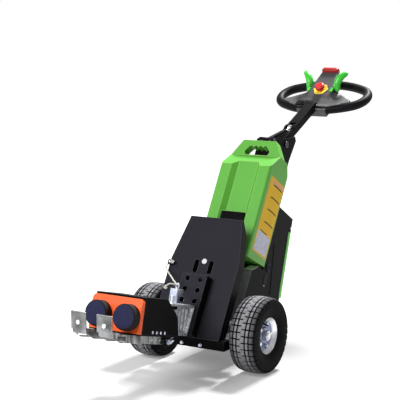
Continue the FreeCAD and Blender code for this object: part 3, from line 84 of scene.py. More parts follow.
def ranged(finish, value, low, high, start=0.0, end=1.0):
    """A value taken straight from start..end to low..high, and held at both ends."""
    return add(finish, "MapRange", {"Value": value, "From Min": start, "From Max": end, "To Min": low,
                                    "To Max": high}).outputs[0]


def reckon(finish, operation, *values):
    """One step of arithmetic on numbers or outputs."""
    return add(finish, "Math", enumerate(values), operation=operation).outputs[0]


def stage_floor(reach=30, near=0.7, far=4.5, dim=0.2, bright=0.9):
    """A square floor that reaches so many metres each way. To the camera and in reflections it also glows,
    dim within near metres of the tug and bright beyond far, so it shows white and the shadow stays on it."""
    mesh = bpy.data.meshes.new("studio_floor")
    mesh.from_pydata([(-reach, -reach, 0), (reach, -reach, 0), (reach, reach, 0), (-reach, reach, 0)],
                     [], [(0, 1, 2, 3)])
    floor = bpy.data.objects.new("studio_floor", mesh)
    bpy.context.scene.collection.objects.link(floor)
    finish, shader, place = new_finish("studio_white", Base_Color=tone(204, 204, 204), Roughness=0.9,
                                       Emission_Color=(1, 1, 1, 1))
    path = add(finish, "LightPath")
    seen = reckon(finish, "MAXIMUM", path.outputs["Is Camera Ray"], path.outputs["Is Glossy Ray"])
    away = add(finish, "VectorMath", {0: place}, operation="LENGTH").outputs["Value"]
    glow = reckon(finish, "MULTIPLY", seen, ranged(finish, away, dim, bright, near, far))
    wire(finish, shader, Roughness=ranged(finish, noise(finish, place, 3.0), 0.88, 0.9),
         Emission_Strength=glow)
    mesh.materials.append(finish)


def stage_sky(even=0.17, mirrored=0.65):
    """A world of even light: dim on surfaces, brighter in reflections, and white to the camera."""
    sky = bpy.data.worlds.new("studio_sky")
    sky.use_nodes = True
    bpy.context.scene.world = sky
    light = sky.node_tree.nodes["Background"]
    light.inputs["Color"].default_value = (1, 1, 1, 1)
    path = add(sky, "LightPath")
    behind = ranged(sky, path.outputs["Is Glossy Ray"], even, mirrored)
    wire(sky, light, Strength=reckon(sky, "MAXIMUM", path.outputs["Is Camera Ray"], behind))


def stage_lamp(name, at, aim, size, power):
    """A square lamp that faces the point aim."""
    lamp = bpy.data.lights.new(name, "AREA")
    lamp.size = size
    lamp.energy = power
    holder = bpy.data.objects.new(name, lamp)
    bpy.context.scene.collection.objects.link(holder)
    holder.location = at
    away = np.array(at, float) - np.array(aim, float)
    holder.rotation_euler = (math.atan2(math.hypot(away[0], away[1]), away[2]), 0,
                             math.atan2(away[0], -away[1]))


def stage_camera(height=1.270, round_about=31.6, down=8.4):
    """A camera so many metres up, round from the coupling and looking down by so many degrees."""
    camera = bpy.data.cameras.new("camera")
    camera.lens = 109.6
    camera.sensor_width = 36
    holder = bpy.data.objects.new("camera", camera)
    bpy.context.scene.collection.objects.link(holder)
    holder.location = (2.297, -3.968, height)
    holder.rotation_euler = (math.radians(90 - down), 0, math.radians(round_about))
    bpy.context.scene.camera = holder


stage_floor()
stage_sky()
stage_lamp("front_lamp", (-1.1, -3.8, 2.8), (0, 0, 0.5), 2.0, 205)
stage_lamp("rear_lamp", (0.05, 2.7, 3.7), (0, -0.2, 0.2), 0.7, 350)
stage_camera()
bpy.context.scene.view_settings.view_transform = "Standard"


# Release cord. A braided pull cord, 5 mm thick and pale grey, knotted to the wire eye on the mast panel and
# to the ring of the hitch's locking pin. It hangs in a loose bight between the two.

cord_route = [(-123, -226, 381), (-141.5, -226.6, 376.8), (-147, -236.5, 361.5), (-134, -253, 354.5),
              (-110, -278, 350.5), (-75, -315, 346.5), (-38, -354, 341), (-8, -384, 338.5), (8, -399, 338.3),
              (15.8, -412.2, 340.2), (16, -425, 344.5), (10, -435, 350), (1, -442, 351), (-7, -447, 345.5),
              (-11, -451, 337)]
cord_radius = 0.0025


def route_line(name, route, fine=48):
    """The points of the smooth NURBS line of order 3 through space that the route controls."""
    curve = bpy.data.curves.new(name, "CURVE")
    curve.dimensions = "3D"
    curve.resolution_u = fine
    spline = curve.splines.new("NURBS")
    spline.points.add(len(route) - 1)
    for point, spot in zip(spline.points, route):
        point.co = (*(c / 1000 for c in spot), 1)
    spline.order_u = 3
    spline.use_endpoint_u = True
    holder = bpy.data.objects.new(name, curve)
    bpy.context.scene.collection.objects.link(holder)
    bpy.context.view_layer.update()
    line = bpy.data.meshes.new_from_object(holder)
    spots = np.array([tuple(v.co) for v in line.vertices])
    bpy.data.objects.remove(holder)
    bpy.data.meshes.remove(line)
    return spots


def even_steps(spots, step):
    """The same line in equal steps: distance along it is the running sum of its chords."""
    run = np.concatenate(([0], np.cumsum(np.linalg.norm(np.diff(spots, axis=0), axis=1))))
    count = max(int(round(run[-1] / step)), 2)
    at = np.linspace(0, run[-1], count + 1)
    return np.column_stack([np.interp(at, run, spots[:, axis]) for axis in range(3)]), at


def carried_frames(spots):
    """Two directions square to the line at each point, carried along it without twist: each step takes the
    last side direction and removes what lies along the new tangent."""
    tangent = np.gradient(spots, axis=0)
    tangent /= np.linalg.norm(tangent, axis=1)[:, None]
    side = np.cross(tangent[0], (0.31, 0.17, 0.94))
    sides = []
    for ahead in tangent:
        side = side - ahead * (side @ ahead)
        side = side / np.linalg.norm(side)
        sides.append(side)
    sides = np.array(sides)
    return sides, np.cross(tangent, sides)


def closed_tube(name, spots, radius, around, closed=False):
    """A tube: point (i, j) is the line's point i plus radius(i, j) in the direction of angle j in its frame.
    Open ends are closed by a point each. Its UV map holds the way along and the way round."""
    side, other = carried_frames(spots)
    angle = np.arange(around) / around * 2 * math.pi
    if closed:
        turn = math.atan2(side[0] @ other[-1], side[0] @ side[-1])
        twist = np.linspace(0, turn, len(spots))[:, None] + angle[None, :]
    else:
        twist = np.zeros((len(spots), 1)) + angle[None, :]
    reach = np.broadcast_to(radius, twist.shape)[..., None]
    ring = spots[:, None, :] + reach * (np.cos(twist)[..., None] * side[:, None, :]
                                        + np.sin(twist)[..., None] * other[:, None, :])
    rows = len(spots)
    i, j = np.meshgrid(np.arange(rows if closed else rows - 1), np.arange(around), indexing="ij")
    after, beside = (i + 1) % rows, (j + 1) % around
    faces = np.stack([i * around + j, i * around + beside, after * around + beside, after * around + j],
                     -1).reshape(-1, 4).tolist()
    points = ring.reshape(-1, 3)
    if not closed:
        points = np.vstack([points, spots[:1], spots[-1:]])
        first, last = rows * around, rows * around + 1
        for j in range(around):
            faces.append([first, (j + 1) % around, j])
            faces.append([last, (rows - 1) * around + j, (rows - 1) * around + (j + 1) % around])
    return skin(name, points, faces)


def skin(name, points, faces, smooth=True):
    """A finished mesh object from its points and faces."""
    mesh = bpy.data.meshes.new(name)
    mesh.from_pydata([tuple(p) for p in np.asarray(points, float)], [], faces)
    mesh.update()
    mesh.polygons.foreach_set("use_smooth", [smooth] * len(mesh.polygons))
    made = bpy.data.objects.new(name, mesh)
    bpy.context.scene.collection.objects.link(made)
    return made


def braid(along, around, lay=0.011, depth=0.22):
    """Radius of a braided tube: eight yarns each way, each a rounded ridge |sin|, the higher of the two
    crossing families on top. A yarn goes once round in four lays."""
    angle = np.arange(around) / around * 2 * math.pi
    climb = along[:, None] / lay * 2 * math.pi
    ridges = np.maximum(np.abs(np.sin(4 * angle + climb)), np.abs(np.sin(4 * angle - climb)))
    return cord_radius * (1 - depth + depth * ridges)


def knot(name, centre, size, radius, turn):
    """An overhand knot pulled up: the trefoil (sin t + 2 sin 2t, cos t - 2 cos 2t, -sin 3t), scaled."""
    t = np.linspace(0, 2 * math.pi, 97)[:-1]
    shape = np.column_stack([np.sin(t) + 2 * np.sin(2 * t), np.cos(t) - 2 * np.cos(2 * t), -np.sin(3 * t)])
    c, s = math.cos(turn), math.sin(turn)
    shape = shape @ np.array([[c, -s, 0], [s, c, 0], [0, 0, 1]])
    shape = shape[:, (0, 2, 1)] * size / 3 + np.array(centre) / 1000
    return closed_tube(name, shape, radius, 14, closed=True)


def blend(finish, share, low, high):
    """A colour between two: low where share is 0, high where it is 1."""
    return add(finish, "Mix", {0: share, 6: low, 7: high}, data_type="RGBA").outputs[2]


def bumps(finish, height, distance, strength=0.5, **under):
    """Normals tilted as if the surface rose by height times distance, over other normals if given."""
    return add(finish, "Bump", {"Height": height, "Distance": distance, "Strength": strength,
                                **under}).outputs[0]


cord_line, cord_along = even_steps(route_line("cord_route", cord_route), 0.0011)
pull_cord = closed_tube("pull_cord", cord_line, braid(cord_along, 24), 24)
eye_knot = knot("eye_knot", (-125.5, -226.2, 380.2), 0.0062, 0.0022, 0.4)
ring_knot = knot("ring_knot", (-10.6, -450.4, 338.6), 0.0058, 0.0021, 1.2)

cord_weave, cord_shader, cord_place = new_finish("cord_weave", Specular_IOR_Level=0.3, Roughness=0.85,
                                                 Sheen_Weight=0.25)
yarn = noise(cord_weave, cord_place, 900.0, 3.0)
thread = blend(cord_weave, yarn, tone(150, 148, 138), tone(214, 212, 202))
soil = noise(cord_weave, cord_place, 45.0, 3.0)
handled = blend(cord_weave, soil, tone(236, 234, 226), tone(200, 198, 190))
wire(cord_weave, cord_shader, Base_Color=blend(cord_weave, 0.5, thread, handled),
     Normal=bumps(cord_weave, yarn, 0.0003, 0.6))
for strand in (pull_cord, eye_knot, ring_knot):
    strand.data.materials.append(cord_weave)
    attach(strand, "chassis")
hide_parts("release_cord")


# Steelwork. The crossbar, keel and deck are one folded and welded steel frame in black powder coat. The
# castor's plate, the tool's base and box, the tiller's post and arm and the cord's eye are coated like it.

def soft_edges(finish, radius, strength=1.0):
    """Normals averaged over a radius, as a small fillet shows, and a mask that is 1 on sharp edges.
    The mask is the dot product of the averaged and the flat normal, mapped from 0.999..0.93 to 0..1. The
    finishes use it to lay a painted highlight along edges."""
    rounded = add(finish, "Bevel", {"Radius": radius}, samples=4).outputs[0]
    flat = add(finish, "NewGeometry").outputs["Normal"]
    along = add(finish, "VectorMath", {0: rounded, 1: flat}, operation="DOT_PRODUCT").outputs["Value"]
    return rounded, ranged(finish, along, 0.0, strength, 0.999, 0.93)


def grained(name, colour, edge, lighter, clouds, grain, relief, fillet, edge_highlight, gloss, gleam):
    """A dull coat: its colour clouds over to one lighter by a factor and pales on its edges as a painted
    highlight, under a fine grain that also moves its roughness within gloss. Clouds and grain are the
    noises' scale and detail."""
    finish, shader, place = new_finish(name, Specular_IOR_Level=gleam)
    rounded, mask = soft_edges(finish, fillet, edge_highlight)
    cloudy = blend(finish, noise(finish, place, *clouds), colour, [lighter * c for c in colour[:3]] + [1])
    speck = noise(finish, place, *grain)
    # Painted highlight: the pale edge colour is laid over the coat on sharp edges.
    wire(finish, shader, Base_Color=blend(finish, mask, cloudy, edge),
         Roughness=ranged(finish, speck, *gloss), Normal=bumps(finish, speck, relief, Normal=rounded))
    return finish


def powder_coat(name, colour, edge, roughness=0.5, gleam=0.25):
    """Sprayed and baked paint, with a fine relief like orange peel."""
    return grained(name, colour, edge, 1.3, (9.0, 4.0), (1400.0, 2.0), 0.00012, 0.0016, 1.0,
                   (roughness - 0.1, roughness + 0.12), gleam)


def dress(finish, *names):
    """Gives CAD nodes one finish all over."""
    for name in names:
        mesh = nodes[name].data
        mesh.materials.clear()
        mesh.materials.append(finish)


black_steel = powder_coat("black_steel", tone(11, 11, 12), tone(60, 60, 66), gleam=0.03)
dress(black_steel, "chassis_frame", "castor_plate", "tool_base", "coupling_box", "tiller_post",
      "tiller_arm", "cord_eye")


# Drive. Two gear motors in grey cast housings are strapped to the keel on the axle line, and turn the rims
# through short turned steel shafts. The castor's hub is cast too, and the tiller's two pins are blacked.

def bare_metal(name, low, high, roughness, mottle=60.0, streak=(1, 1, 1), relief=0.0001):
    """Metal whose colour wanders between two tones with noise stretched along one axis, and that takes
    a near white painted highlight on its edges.
    """
    finish, shader, place = new_finish(name, Metallic=1.0)
    rounded, mask = soft_edges(finish, 0.0012, 0.6)
    laid = add(finish, "Mapping", {"Vector": place, "Scale": streak}).outputs[0]
    cloud = noise(finish, laid, mottle, 6.0)
    spread = ranged(finish, cloud, 0.0, 1.0, 0.35, 0.65)
    mottled = blend(finish, spread, low, high)
    # Painted highlight: near white is laid on sharp edges.
    wire(finish, shader, Base_Color=blend(finish, mask, mottled, tone(235, 236, 240)),
         Roughness=ranged(finish, spread, roughness + 0.12, roughness - 0.06),
         Normal=bumps(finish, cloud, relief, 0.6, Normal=rounded))
    return finish


cast_alloy = bare_metal("cast_alloy", tone(150, 152, 156), tone(196, 198, 202), 0.5, 220.0)
dress(cast_alloy, "gear_motor_left", "gear_motor_right", "castor_hub")
turned_steel = bare_metal("turned_steel", tone(170, 170, 174), tone(214, 214, 218), 0.28, 90.0, (40, 1, 1))
dress(turned_steel, "axle_shaft_left", "axle_shaft_right")
blacked_steel = bare_metal("blacked_steel", tone(30, 30, 33), tone(58, 58, 62), 0.4, 160.0)
dress(blacked_steel, "tiller_pivot_pin", "strut_anchor_pin")


# Castor. A pressed fork, zinc plated, swivels under the deck at the rear and carries a small wheel with a
# grey rubber tyre. The hitch's pin unit and the clamp screws are plated alike.

def black_rubber(name, colour, roughness=0.72, grain=700.0):
    """Rubber: dull, with dusty clouds, a faint painted highlight on its edges and a fine grain."""
    return grained(name, colour, tone(90, 90, 92), 1.7, (14.0, 6.0), (grain, 3.0), 0.0002, 0.0015, 0.35,
                   (roughness - 0.1, roughness + 0.15), 0.2)


zinc_plate = bare_metal("zinc_plate", tone(150, 158, 182), tone(226, 230, 238), 0.3, 26.0)
dress(zinc_plate, "castor_fork", "hitch_pin_unit", "clamp_screw_left", "clamp_screw_right")
dress(black_rubber("castor_rubber", tone(74, 74, 78)), "castor_tyre")


# Rims. Each is a pressed steel disc in a rolled rim, zinc plated, and looks slightly violet in the dish
# round its hub. It is bolted on and carries the tyre.

axle_y = -188.054                            # the drive axle along Y, in millimetres
tyre_radius = 140.0
dish_radius = 0.050


def repaint(finish, colour, share):
    """Lays another colour over a finish's own: none of it where share is 0, nothing else where it is 1."""
    socket = finish.node_tree.nodes["Principled BSDF"].inputs["Base Color"]
    finish.node_tree.links.new(blend(finish, share, socket.links[0].from_socket, colour), socket)


def within_dish(finish):
    """1 within the dish's radius of the axle's line along X, and 0 beyond it by 4 mm."""
    offset = add(finish, "VectorMath", {0: add(finish, "TexCoord").outputs["Object"],
                                        1: (0, axle_y / 1000, tyre_radius / 1000)}, operation="SUBTRACT")
    spoke = add(finish, "VectorMath", {0: offset.outputs[0], 1: (0, 1, 1)}, operation="MULTIPLY")
    away = add(finish, "VectorMath", {0: spoke.outputs[0]}, operation="LENGTH").outputs["Value"]
    return ranged(finish, away, 1.0, 0.0, dish_radius, dish_radius + 0.004)


rim_plate = bare_metal("rim_plate", tone(176, 177, 184), tone(228, 229, 232), 0.36, 26.0)
repaint(rim_plate, tone(122, 126, 150), within_dish(rim_plate))
dress(rim_plate, "rim_left", "rim_right")


# Tyres. Black rubber on a 280 mm wheel, tread side toward the floor: a wide middle rib, a row of small
# blocks and a row of shoulder blocks on each side, parted by 6 mm grooves, with paler dusty tops.

both_sides = ((-1, "left"), (1, "right"))
track = 223.0                                # from the tug's middle to the middle of each wheel
lugs = 36
groove = 6.0
long_grooves = ((14.4, 19.2), (28.8, 33.2))  # from the tyre's middle to their near and far walls


def tyre_section():
    """Half widths and radii of the tyre's skin from the inner bead round the tread to the outer bead, then
    back across the rim: a crown of 4 mm over the tread, a round shoulder, and a bulging side wall."""
    across = np.array([0, 6, 12.5, 13.6, 14.4, 15.2, 18.4, 19.2, 20, 24, 28, 28.8, 29.6, 32.4, 33.2, 34, 39,
                       44, 47.5, 49.8, 51.0, 51.5, 51.4, 50.6, 50.4, 51.0, 50.6, 49.6, 47.8, 45.2, 43.6,
                       43.2, 41.6, 40.6, 40.4])
    radius = np.array([140, 139.9, 139.7, 139.7, 139.6, 139.6, 139.4, 139.3, 139.3, 138.9, 138.5, 138.4,
                       138.3, 137.9, 137.8, 137.7, 136.8, 135.4, 133.4, 130.4, 126.5, 121.5, 118.2, 117.6,
                       116.4, 115.8, 108, 98, 88.5, 80.5, 77.8, 76.2, 75.0, 72.4, 66.5])
    return across, radius


def tread_depth(turn, across):
    """Depth of the grooves: the full depth in the two long grooves of each side, and in cross grooves 4 mm
    wide that run from the rib out over the shoulder, those of one side half a lug after the other's."""
    wall = lambda edge: np.clip((np.abs(across) - edge) / 0.8 + 0.5, 0, 1)
    inner, outer = (wall(near) * (1 - wall(far)) for near, far in long_grooves)
    phase = (turn * lugs / (2 * math.pi) + np.where(across > 0, 0.5, 0.0)) % 1.0
    cross = np.clip((0.1 - np.abs(phase - 0.5)) / 0.012 + 0.5, 0, 1) * wall(5.5)
    return groove * np.maximum(np.maximum(inner, outer), cross)


def lay_tyre(name, middle, tread_foot=124.0, tread_top=130.0, shoulder=45):
    """A closed ring of skin: the point (i, j) is section point j, its radius less the tread's depth, turned
    by angle i about the axle. Angles come close together at the walls of the cross grooves. The grooves
    run out towards tread_foot, and beyond the shoulder they also cut inwards by a quarter of their depth."""
    across, radius = tyre_section()
    across = np.concatenate([-across[:0:-1], across])
    radius = np.concatenate([radius[:0:-1], radius])
    part = np.array([0.0, 0.2, 0.394, 0.406, 0.5, 0.594, 0.606, 0.8])
    part = np.unique(np.round(np.concatenate([part, (part + 0.5) % 1.0]), 4))
    turn = ((np.arange(lugs)[:, None] + part) / lugs).ravel() * 2 * math.pi
    grid_turn, grid_across = np.meshgrid(turn, across, indexing="ij")
    depth = tread_depth(grid_turn, grid_across)
    cut = depth * np.clip((radius - tread_foot) / 6.0, 0, 1)
    reach = radius - cut
    pull = np.where(np.abs(grid_across) > shoulder, np.sign(grid_across) * cut * 0.25, 0)
    points = np.stack([(grid_across - pull) + middle, axle_y + reach * np.sin(grid_turn),
                       tyre_radius + reach * np.cos(grid_turn)], -1) / 1000
    rows, cols = depth.shape
    i, j = np.meshgrid(np.arange(rows), np.arange(cols), indexing="ij")
    after, beside = (i + 1) % rows, (j + 1) % cols
    faces = np.stack([i * cols + j, i * cols + beside, after * cols + beside, after * cols + j],
                     -1).reshape(-1, 4)
    made = skin(name, points.reshape(-1, 3), faces.tolist(), smooth=False)
    wall = np.minimum(radius, np.roll(radius, -1)) < 126
    made.data.polygons.foreach_set("use_smooth", np.broadcast_to(wall, (rows, cols)).ravel())
    top = (1 - depth / groove) * np.clip((radius - tread_top) / 6.0, 0, 1)
    top = top * np.where(np.abs(grid_across) > 33, 0.55, 1.0)
    made.data.attributes.new("tread_top", "FLOAT", "POINT").data.foreach_set("value", top.ravel())
    return made


def turf_rubber():
    """Tyre rubber: near black on the walls and in the grooves, dusty speckled grey where it has run."""
    finish, shader, place = new_finish("turf_rubber", Specular_IOR_Level=0.08)
    top = add(finish, "Attribute", attribute_name="tread_top").outputs["Fac"]
    dust = noise(finish, place, 260.0, 5.0, 0.7)
    speck = ranged(finish, dust, 0.0, 1.0, 0.32, 0.68)
    grey = blend(finish, speck, tone(88, 88, 93), tone(164, 164, 168))
    dark = blend(finish, noise(finish, place, 30.0, 3.0), tone(9, 9, 10), tone(18, 18, 20))
    run = ranged(finish, top, 0.0, 1.0, 0.25, 0.95)
    wire(finish, shader, Base_Color=blend(finish, run, dark, grey), Roughness=ranged(finish, dust, 0.62, 0.9),
         Normal=bumps(finish, dust, 0.0005, 0.6))
    return finish


tread_rubber = turf_rubber()
for sign, side in both_sides:
    turf_tyre = lay_tyre("turf_tyre_" + side, sign * track)
    turf_tyre.data.materials.append(tread_rubber)
    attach(turf_tyre, "wheel_" + side)
    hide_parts("tyre_" + side)


# Wheel fixings. Five plated bolts hold each rim's dish to its hub, a steel pin locks the nut on the axle,
# and a rubber valve stem stands in the dish.

def set_out(points, foot=(0, 0), turn=0):
    """Points of a frame in millimetres, put in the row frame in metres: the frame's origin stands foot =
    (behind, above) from the axle's spot on the floor, and the frame is turned about X by turn degrees."""
    x, y, z = np.asarray(points, float).reshape(-1, 3).T
    c, s = math.cos(math.radians(turn)), math.sin(math.radians(turn))
    return np.column_stack([x, axle_y + foot[0] + y * c - z * s, foot[1] + y * s + z * c]) / 1000


def turned(profile, around, flats=()):
    """A form of revolution on +Z, closed at both ends: ring k lies at height profile[k][1] with radius
    profile[k][0]. Rings named in flats are hexagons across flats: r = a / cos(angle mod 60 - 30)."""
    angle = np.arange(around) / around * 2 * math.pi
    hexagon = 1 / np.cos((angle % (math.pi / 3)) - math.pi / 6)
    rings = [np.column_stack([r * f * np.cos(angle), r * f * np.sin(angle), np.full(around, h)])
             for k, (r, h) in enumerate(profile) for f in [hexagon if k in flats else 1.0]]
    rows = len(profile)
    points = np.vstack(rings + [[(0, 0, profile[0][1])], [(0, 0, profile[-1][1])]])
    faces = [[i * around + j, i * around + (j + 1) % around, (i + 1) * around + (j + 1) % around,
              (i + 1) * around + j] for i in range(rows - 1) for j in range(around)]
    faces += [[rows * around, (j + 1) % around, j] for j in range(around)]
    top = (rows - 1) * around
    faces += [[rows * around + 1, top + j, top + (j + 1) % around] for j in range(around)]
    return points, faces


def hex_bolt(across=13.0, height=5.5, washer=8.5):
    """A washer, a hexagon head with its corners chamfered by a cone, and a shallow dish on top."""
    a = across / 2
    return turned([(washer, 0), (washer, 1.2), (washer - 0.4, 1.5), (a, 1.5), (a, height - 0.4 + 1.5),
                   (a * 0.93, height + 1.5), (a * 0.6, height + 1.5), (a * 0.5, height + 1.2)], 24, (3, 4))


def fasten(name, form, spots, out, finish, body, material_slot, **frame_of):
    """Copies of one fastener, joined: each stands on its spot with its axis along out."""
    points, faces = form
    out = np.array(out, float) / np.linalg.norm(out)
    side = np.cross(out, (0.2, 0.9, 0.37) if abs(out[0]) < 0.9 else (0, 1, 0))
    side /= np.linalg.norm(side)
    axes = np.array([side, np.cross(out, side), out])
    everything = np.vstack([points @ axes + np.array(spot) for spot in spots])
    count = len(points)
    made = skin(name, set_out(everything, **frame_of),
                [[v + count * n for v in face] for n in range(len(spots)) for face in faces], smooth=False)
    made.data.materials.append(finish)
    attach(made, body)
    return made


bolt_circle, stem_circle = 43.0, 50.0
first_bolt, stem_turn = 0.35, -0.3
dish_face, stem_foot, nut_middle = 21.6, 25.5, 34.0     # out from the wheel's middle
bolt_turns = np.arange(5) / 5 * 2 * math.pi + first_bolt
stem_form = turned([(4.2, 0), (4.2, 3), (3.4, 4.5), (3.2, 15), (2.6, 16), (2.6, 21), (1.2, 21.6)], 14)
pin_form = turned([(1.6, -19), (1.6, 19)], 10)
for sign, side in both_sides:
    spots = np.column_stack([np.full(5, sign * (track + dish_face)), bolt_circle * np.sin(bolt_turns),
                             tyre_radius + bolt_circle * np.cos(bolt_turns)])
    fasten("wheel_bolts_" + side, hex_bolt(13, 6, 9), spots, (sign, 0, 0), zinc_plate, "wheel_" + side,
           "zinc")
    spot = (sign * (track + stem_foot), stem_circle * math.sin(stem_turn),
            tyre_radius + stem_circle * math.cos(stem_turn))
    fasten("valve_stem_" + side, stem_form, [spot], (sign, 0.05, -0.35), tread_rubber, "wheel_" + side,
           "tyre")
    fasten("nut_pin_" + side, pin_form, [(sign * (track + nut_middle), 0, tyre_radius)], (0, 0.3, 1),
           turned_steel, "wheel_" + side, "steel")


# Mast. A folded steel panel is bolted to the crossbar along its foot and leans back. It carries the channel
# # with the row of holes, and both are in dark grey powder coat. Their folded sides are made near black
# # with painted shade.

mast_coat = powder_coat("mast_coat", tone(35, 35, 41), tone(120, 120, 128), gleam=0.05)
# Painted shade: faces that point along X, the folded sides, are made near black.
facing = add(mast_coat, "SeparateXYZ", {0: add(mast_coat, "NewGeometry").outputs["Normal"]}).outputs["X"]
shaded_sides = reckon(mast_coat, "GREATER_THAN", reckon(mast_coat, "ABSOLUTE", facing), 0.8)
repaint(mast_coat, tone(9, 9, 10), shaded_sides)
dress(mast_coat, "mast_panel", "mast_channel")


# Mast fixings. A pale domed plug fills the spare hole above the channel, the studs that hold the channel
# # show through its holes, bolts run along the panel's foot, and a near black sheet of painted shade lines
# # the back of its two slots.

mast = {"foot": (-159, 139), "turn": -30}


def moulded(name, colour, edge, roughness=0.45, grain=900.0, fillet=0.003, gleam=0.3):
    """Moulded plastic: even colour with a faint cloud, a pale painted highlight on its edges and a leathery
    grain.
    """
    return grained(name, colour, edge, 1.15, (6.0, 4.0), (grain, 2.0), 0.00015, fillet, 0.8,
                   (roughness - 0.08, roughness + 0.1), gleam)


def block(name, low, high, rounding, finish, body, material_slot, **frame_of):
    """A block between two corners whose edges are rounded: a grid of 8 by 8 on each face of a cube is pushed
    out, p = inner box + R * direction, which makes a rounded box without a seam."""
    low, high = np.array(low, float), np.array(high, float)
    steps = np.array([-1, -0.8, -0.5, 0, 0, 0.5, 0.8, 1.0])
    core = np.array([0, 0, 0, 0, 1, 1, 1, 1])
    rows = []
    faces = []
    for axis in range(3):
        for sign in (-1, 1):
            a, b = np.meshgrid(range(8), range(8), indexing="ij")
            flat = np.zeros((8, 8, 3))
            inner = np.zeros((8, 8, 3))
            one, two = (axis + 1) % 3, (axis + 2) % 3
            flat[..., axis], inner[..., axis] = sign, (sign + 1) / 2
            flat[..., one], inner[..., one] = steps[a], core[a]
            flat[..., two], inner[..., two] = steps[b], core[b]
            away = flat / np.linalg.norm(flat, axis=-1, keepdims=True)
            at = low + rounding + inner * (high - low - 2 * rounding) + away * rounding
            base = len(rows) * 64
            rows.append(at.reshape(-1, 3))
            order = [(0, 0), (1, 0), (1, 1), (0, 1)] if sign > 0 else [(0, 0), (0, 1), (1, 1), (1, 0)]
            faces += [[base + (i + di) * 8 + j + dj for di, dj in order] for i in range(7) for j in range(7)]
    made = skin(name, set_out(np.vstack(rows), **frame_of), faces)
    merge = made.modifiers.new("merge", "WELD")
    merge.merge_threshold = 0.00002
    made.data.materials.append(finish)
    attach(made, body)
    return made


pale_cap = moulded("pale_cap", tone(206, 207, 213), tone(236, 236, 240), 0.35, 500.0, 0.001)
plug_form = turned([(10.6, 0), (10.6, 1.6), (9.6, 2.6), (7.0, 3.3), (3.4, 3.7)], 28)
fasten("mast_plug", plug_form, [(0.2, 0, 289.6)], (0, -1, 0), pale_cap, "chassis", "galvanised", **mast)
stud_form = turned([(8.5, 0), (8.5, 1.5), (7.5, 1.5), (7.5, 8), (6.6, 9), (4.0, 9), (4.0, 17.5),
                    (3.2, 18.5)], 24, (2, 3, 4))
fasten("channel_studs", stud_form, [(x, 0, z) for x in (-29, 29) for z in (214, 128)], (0, -1, 0),
       zinc_plate, "chassis", "zinc", **mast)
fasten("crossbar_bolts", hex_bolt(10, 5, 6.5), [(x, -152, 113) for x in (-86, -12, 66)], (0, -1, 0),
       zinc_plate, "chassis", "zinc")
# Painted shade: a near black sheet at the back of each slot makes the slot look dark and deep.
slot_shade = powder_coat("slot_shade", tone(1, 1, 1), tone(2, 2, 2), gleam=0.0)
slot_middle, slot_half = 31, 9.4
for sign, side in both_sides:
    block("slot_shade_sheet_" + side, (sign * slot_middle - slot_half, 1.5, 242.2),
          (sign * slot_middle + slot_half, 11.6, 294.8), 0.6, slot_shade, "chassis", "black_plastic", **mast)


# Hitch. A galvanised steel jaw is clamped to the channel by two bolts through each cheek, and a spring pin
# locks the tool in it. The pull cord draws the pin.

galvanised = bare_metal("galvanised", tone(172, 175, 182), tone(250, 251, 252), 0.42, 90.0)
dress(galvanised, "hitch_bracket")
tool = {"foot": (-262, 283), "turn": -14}
for sign, side in both_sides:
    fasten("jaw_bolts_" + side, hex_bolt(13, 6, 9), [(sign * 37, -36, -24), (sign * 37, -36, -88)],
           (sign, 0, 0), galvanised, "chassis", "galvanised", **tool)


# Coupling front. An orange steel cover closes the box, and two round rubber buffers are screwed to it. The
# buffers are near black on their sides and navy on the skin that meets the load.

dress(powder_coat("orange_coat", tone(232, 88, 34), tone(250, 146, 92), roughness=0.42, gleam=0.2),
      "coupling_front")
dress(black_rubber("buffer_rubber", tone(22, 17, 20), 0.8, 380.0), "buffer_left", "buffer_right")
face_rubber = black_rubber("face_rubber", tone(30, 32, 58), 0.85, 120.0)
face_form = turned([(39.4, 0), (39.2, 0.5), (38.2, 0.9)], 64)
for sign, side in both_sides:
    fasten("buffer_skin_" + side, face_form, [(sign * 57, -350, -56)], (0, -1, 0), face_rubber, "chassis",
           "buffer", **tool)


# Hook arms. Two cranked steel plates, drawn and zinc plated, slide along the tool's base and hook behind the
# load's bar. A row of rivets and a rosette nut ride on each, beside the dome screws of the box.

drawn_zinc = bare_metal("drawn_zinc", tone(84, 84, 80), tone(158, 160, 162), 0.36, 14.0, (1, 3, 1), 0.00005)
dress(drawn_zinc, "hook_arm_left", "hook_arm_right")


def dome_screw(radius=6.0, height=3.2):
    """A round head, r = R cos t and h = H sin t, with a hexagon socket sunk in its top."""
    t = np.linspace(0, 1.15, 6)
    rim = [(radius, 0)] + [(radius * math.cos(v), 0.5 + height * math.sin(v)) for v in t]
    return turned(rim + [(radius * 0.36, 0.5 + height * 0.93), (radius * 0.33, height * 0.45)], 18,
                  (len(rim), len(rim) + 1))


rosette_form = turned([(11.5, 0), (11.5, 1.2), (10.2, 2.2), (7.6, 2.4), (7.2, 2.4), (7.2, 8), (6.4, 9),
                       (3.6, 9), (3.3, 6.5)], 24, (4, 5, 6))
for sign, side in both_sides:
    screws = [(sign * 98, y, -98.6) for y in (-227, -202, -177, -152)]
    fasten("box_screws_" + side, dome_screw(5.2, 2.6), screws, (sign, 0, 0), zinc_plate, "chassis", "zinc",
           **tool)
    rivets = [(sign * 80, y, -124.5) for y in (-199, -174, -149, -124)]
    fasten("arm_rivets_" + side, dome_screw(3.6, 1.8), rivets, (sign, 0, 0), turned_steel, "hook_" + side,
           "steel", **tool)
    fasten("hook_rosette_" + side, rosette_form, [(sign * 52, -438, -90)], (0, -1, 0), galvanised,
           "hook_" + side, "galvanised", **tool)


# Battery. A rotomoulded green shell stands in the housing and lifts out by its grip. A near black block at
# # the foot of its recess, under a thin moulded lip, is painted shade for the dark band there.

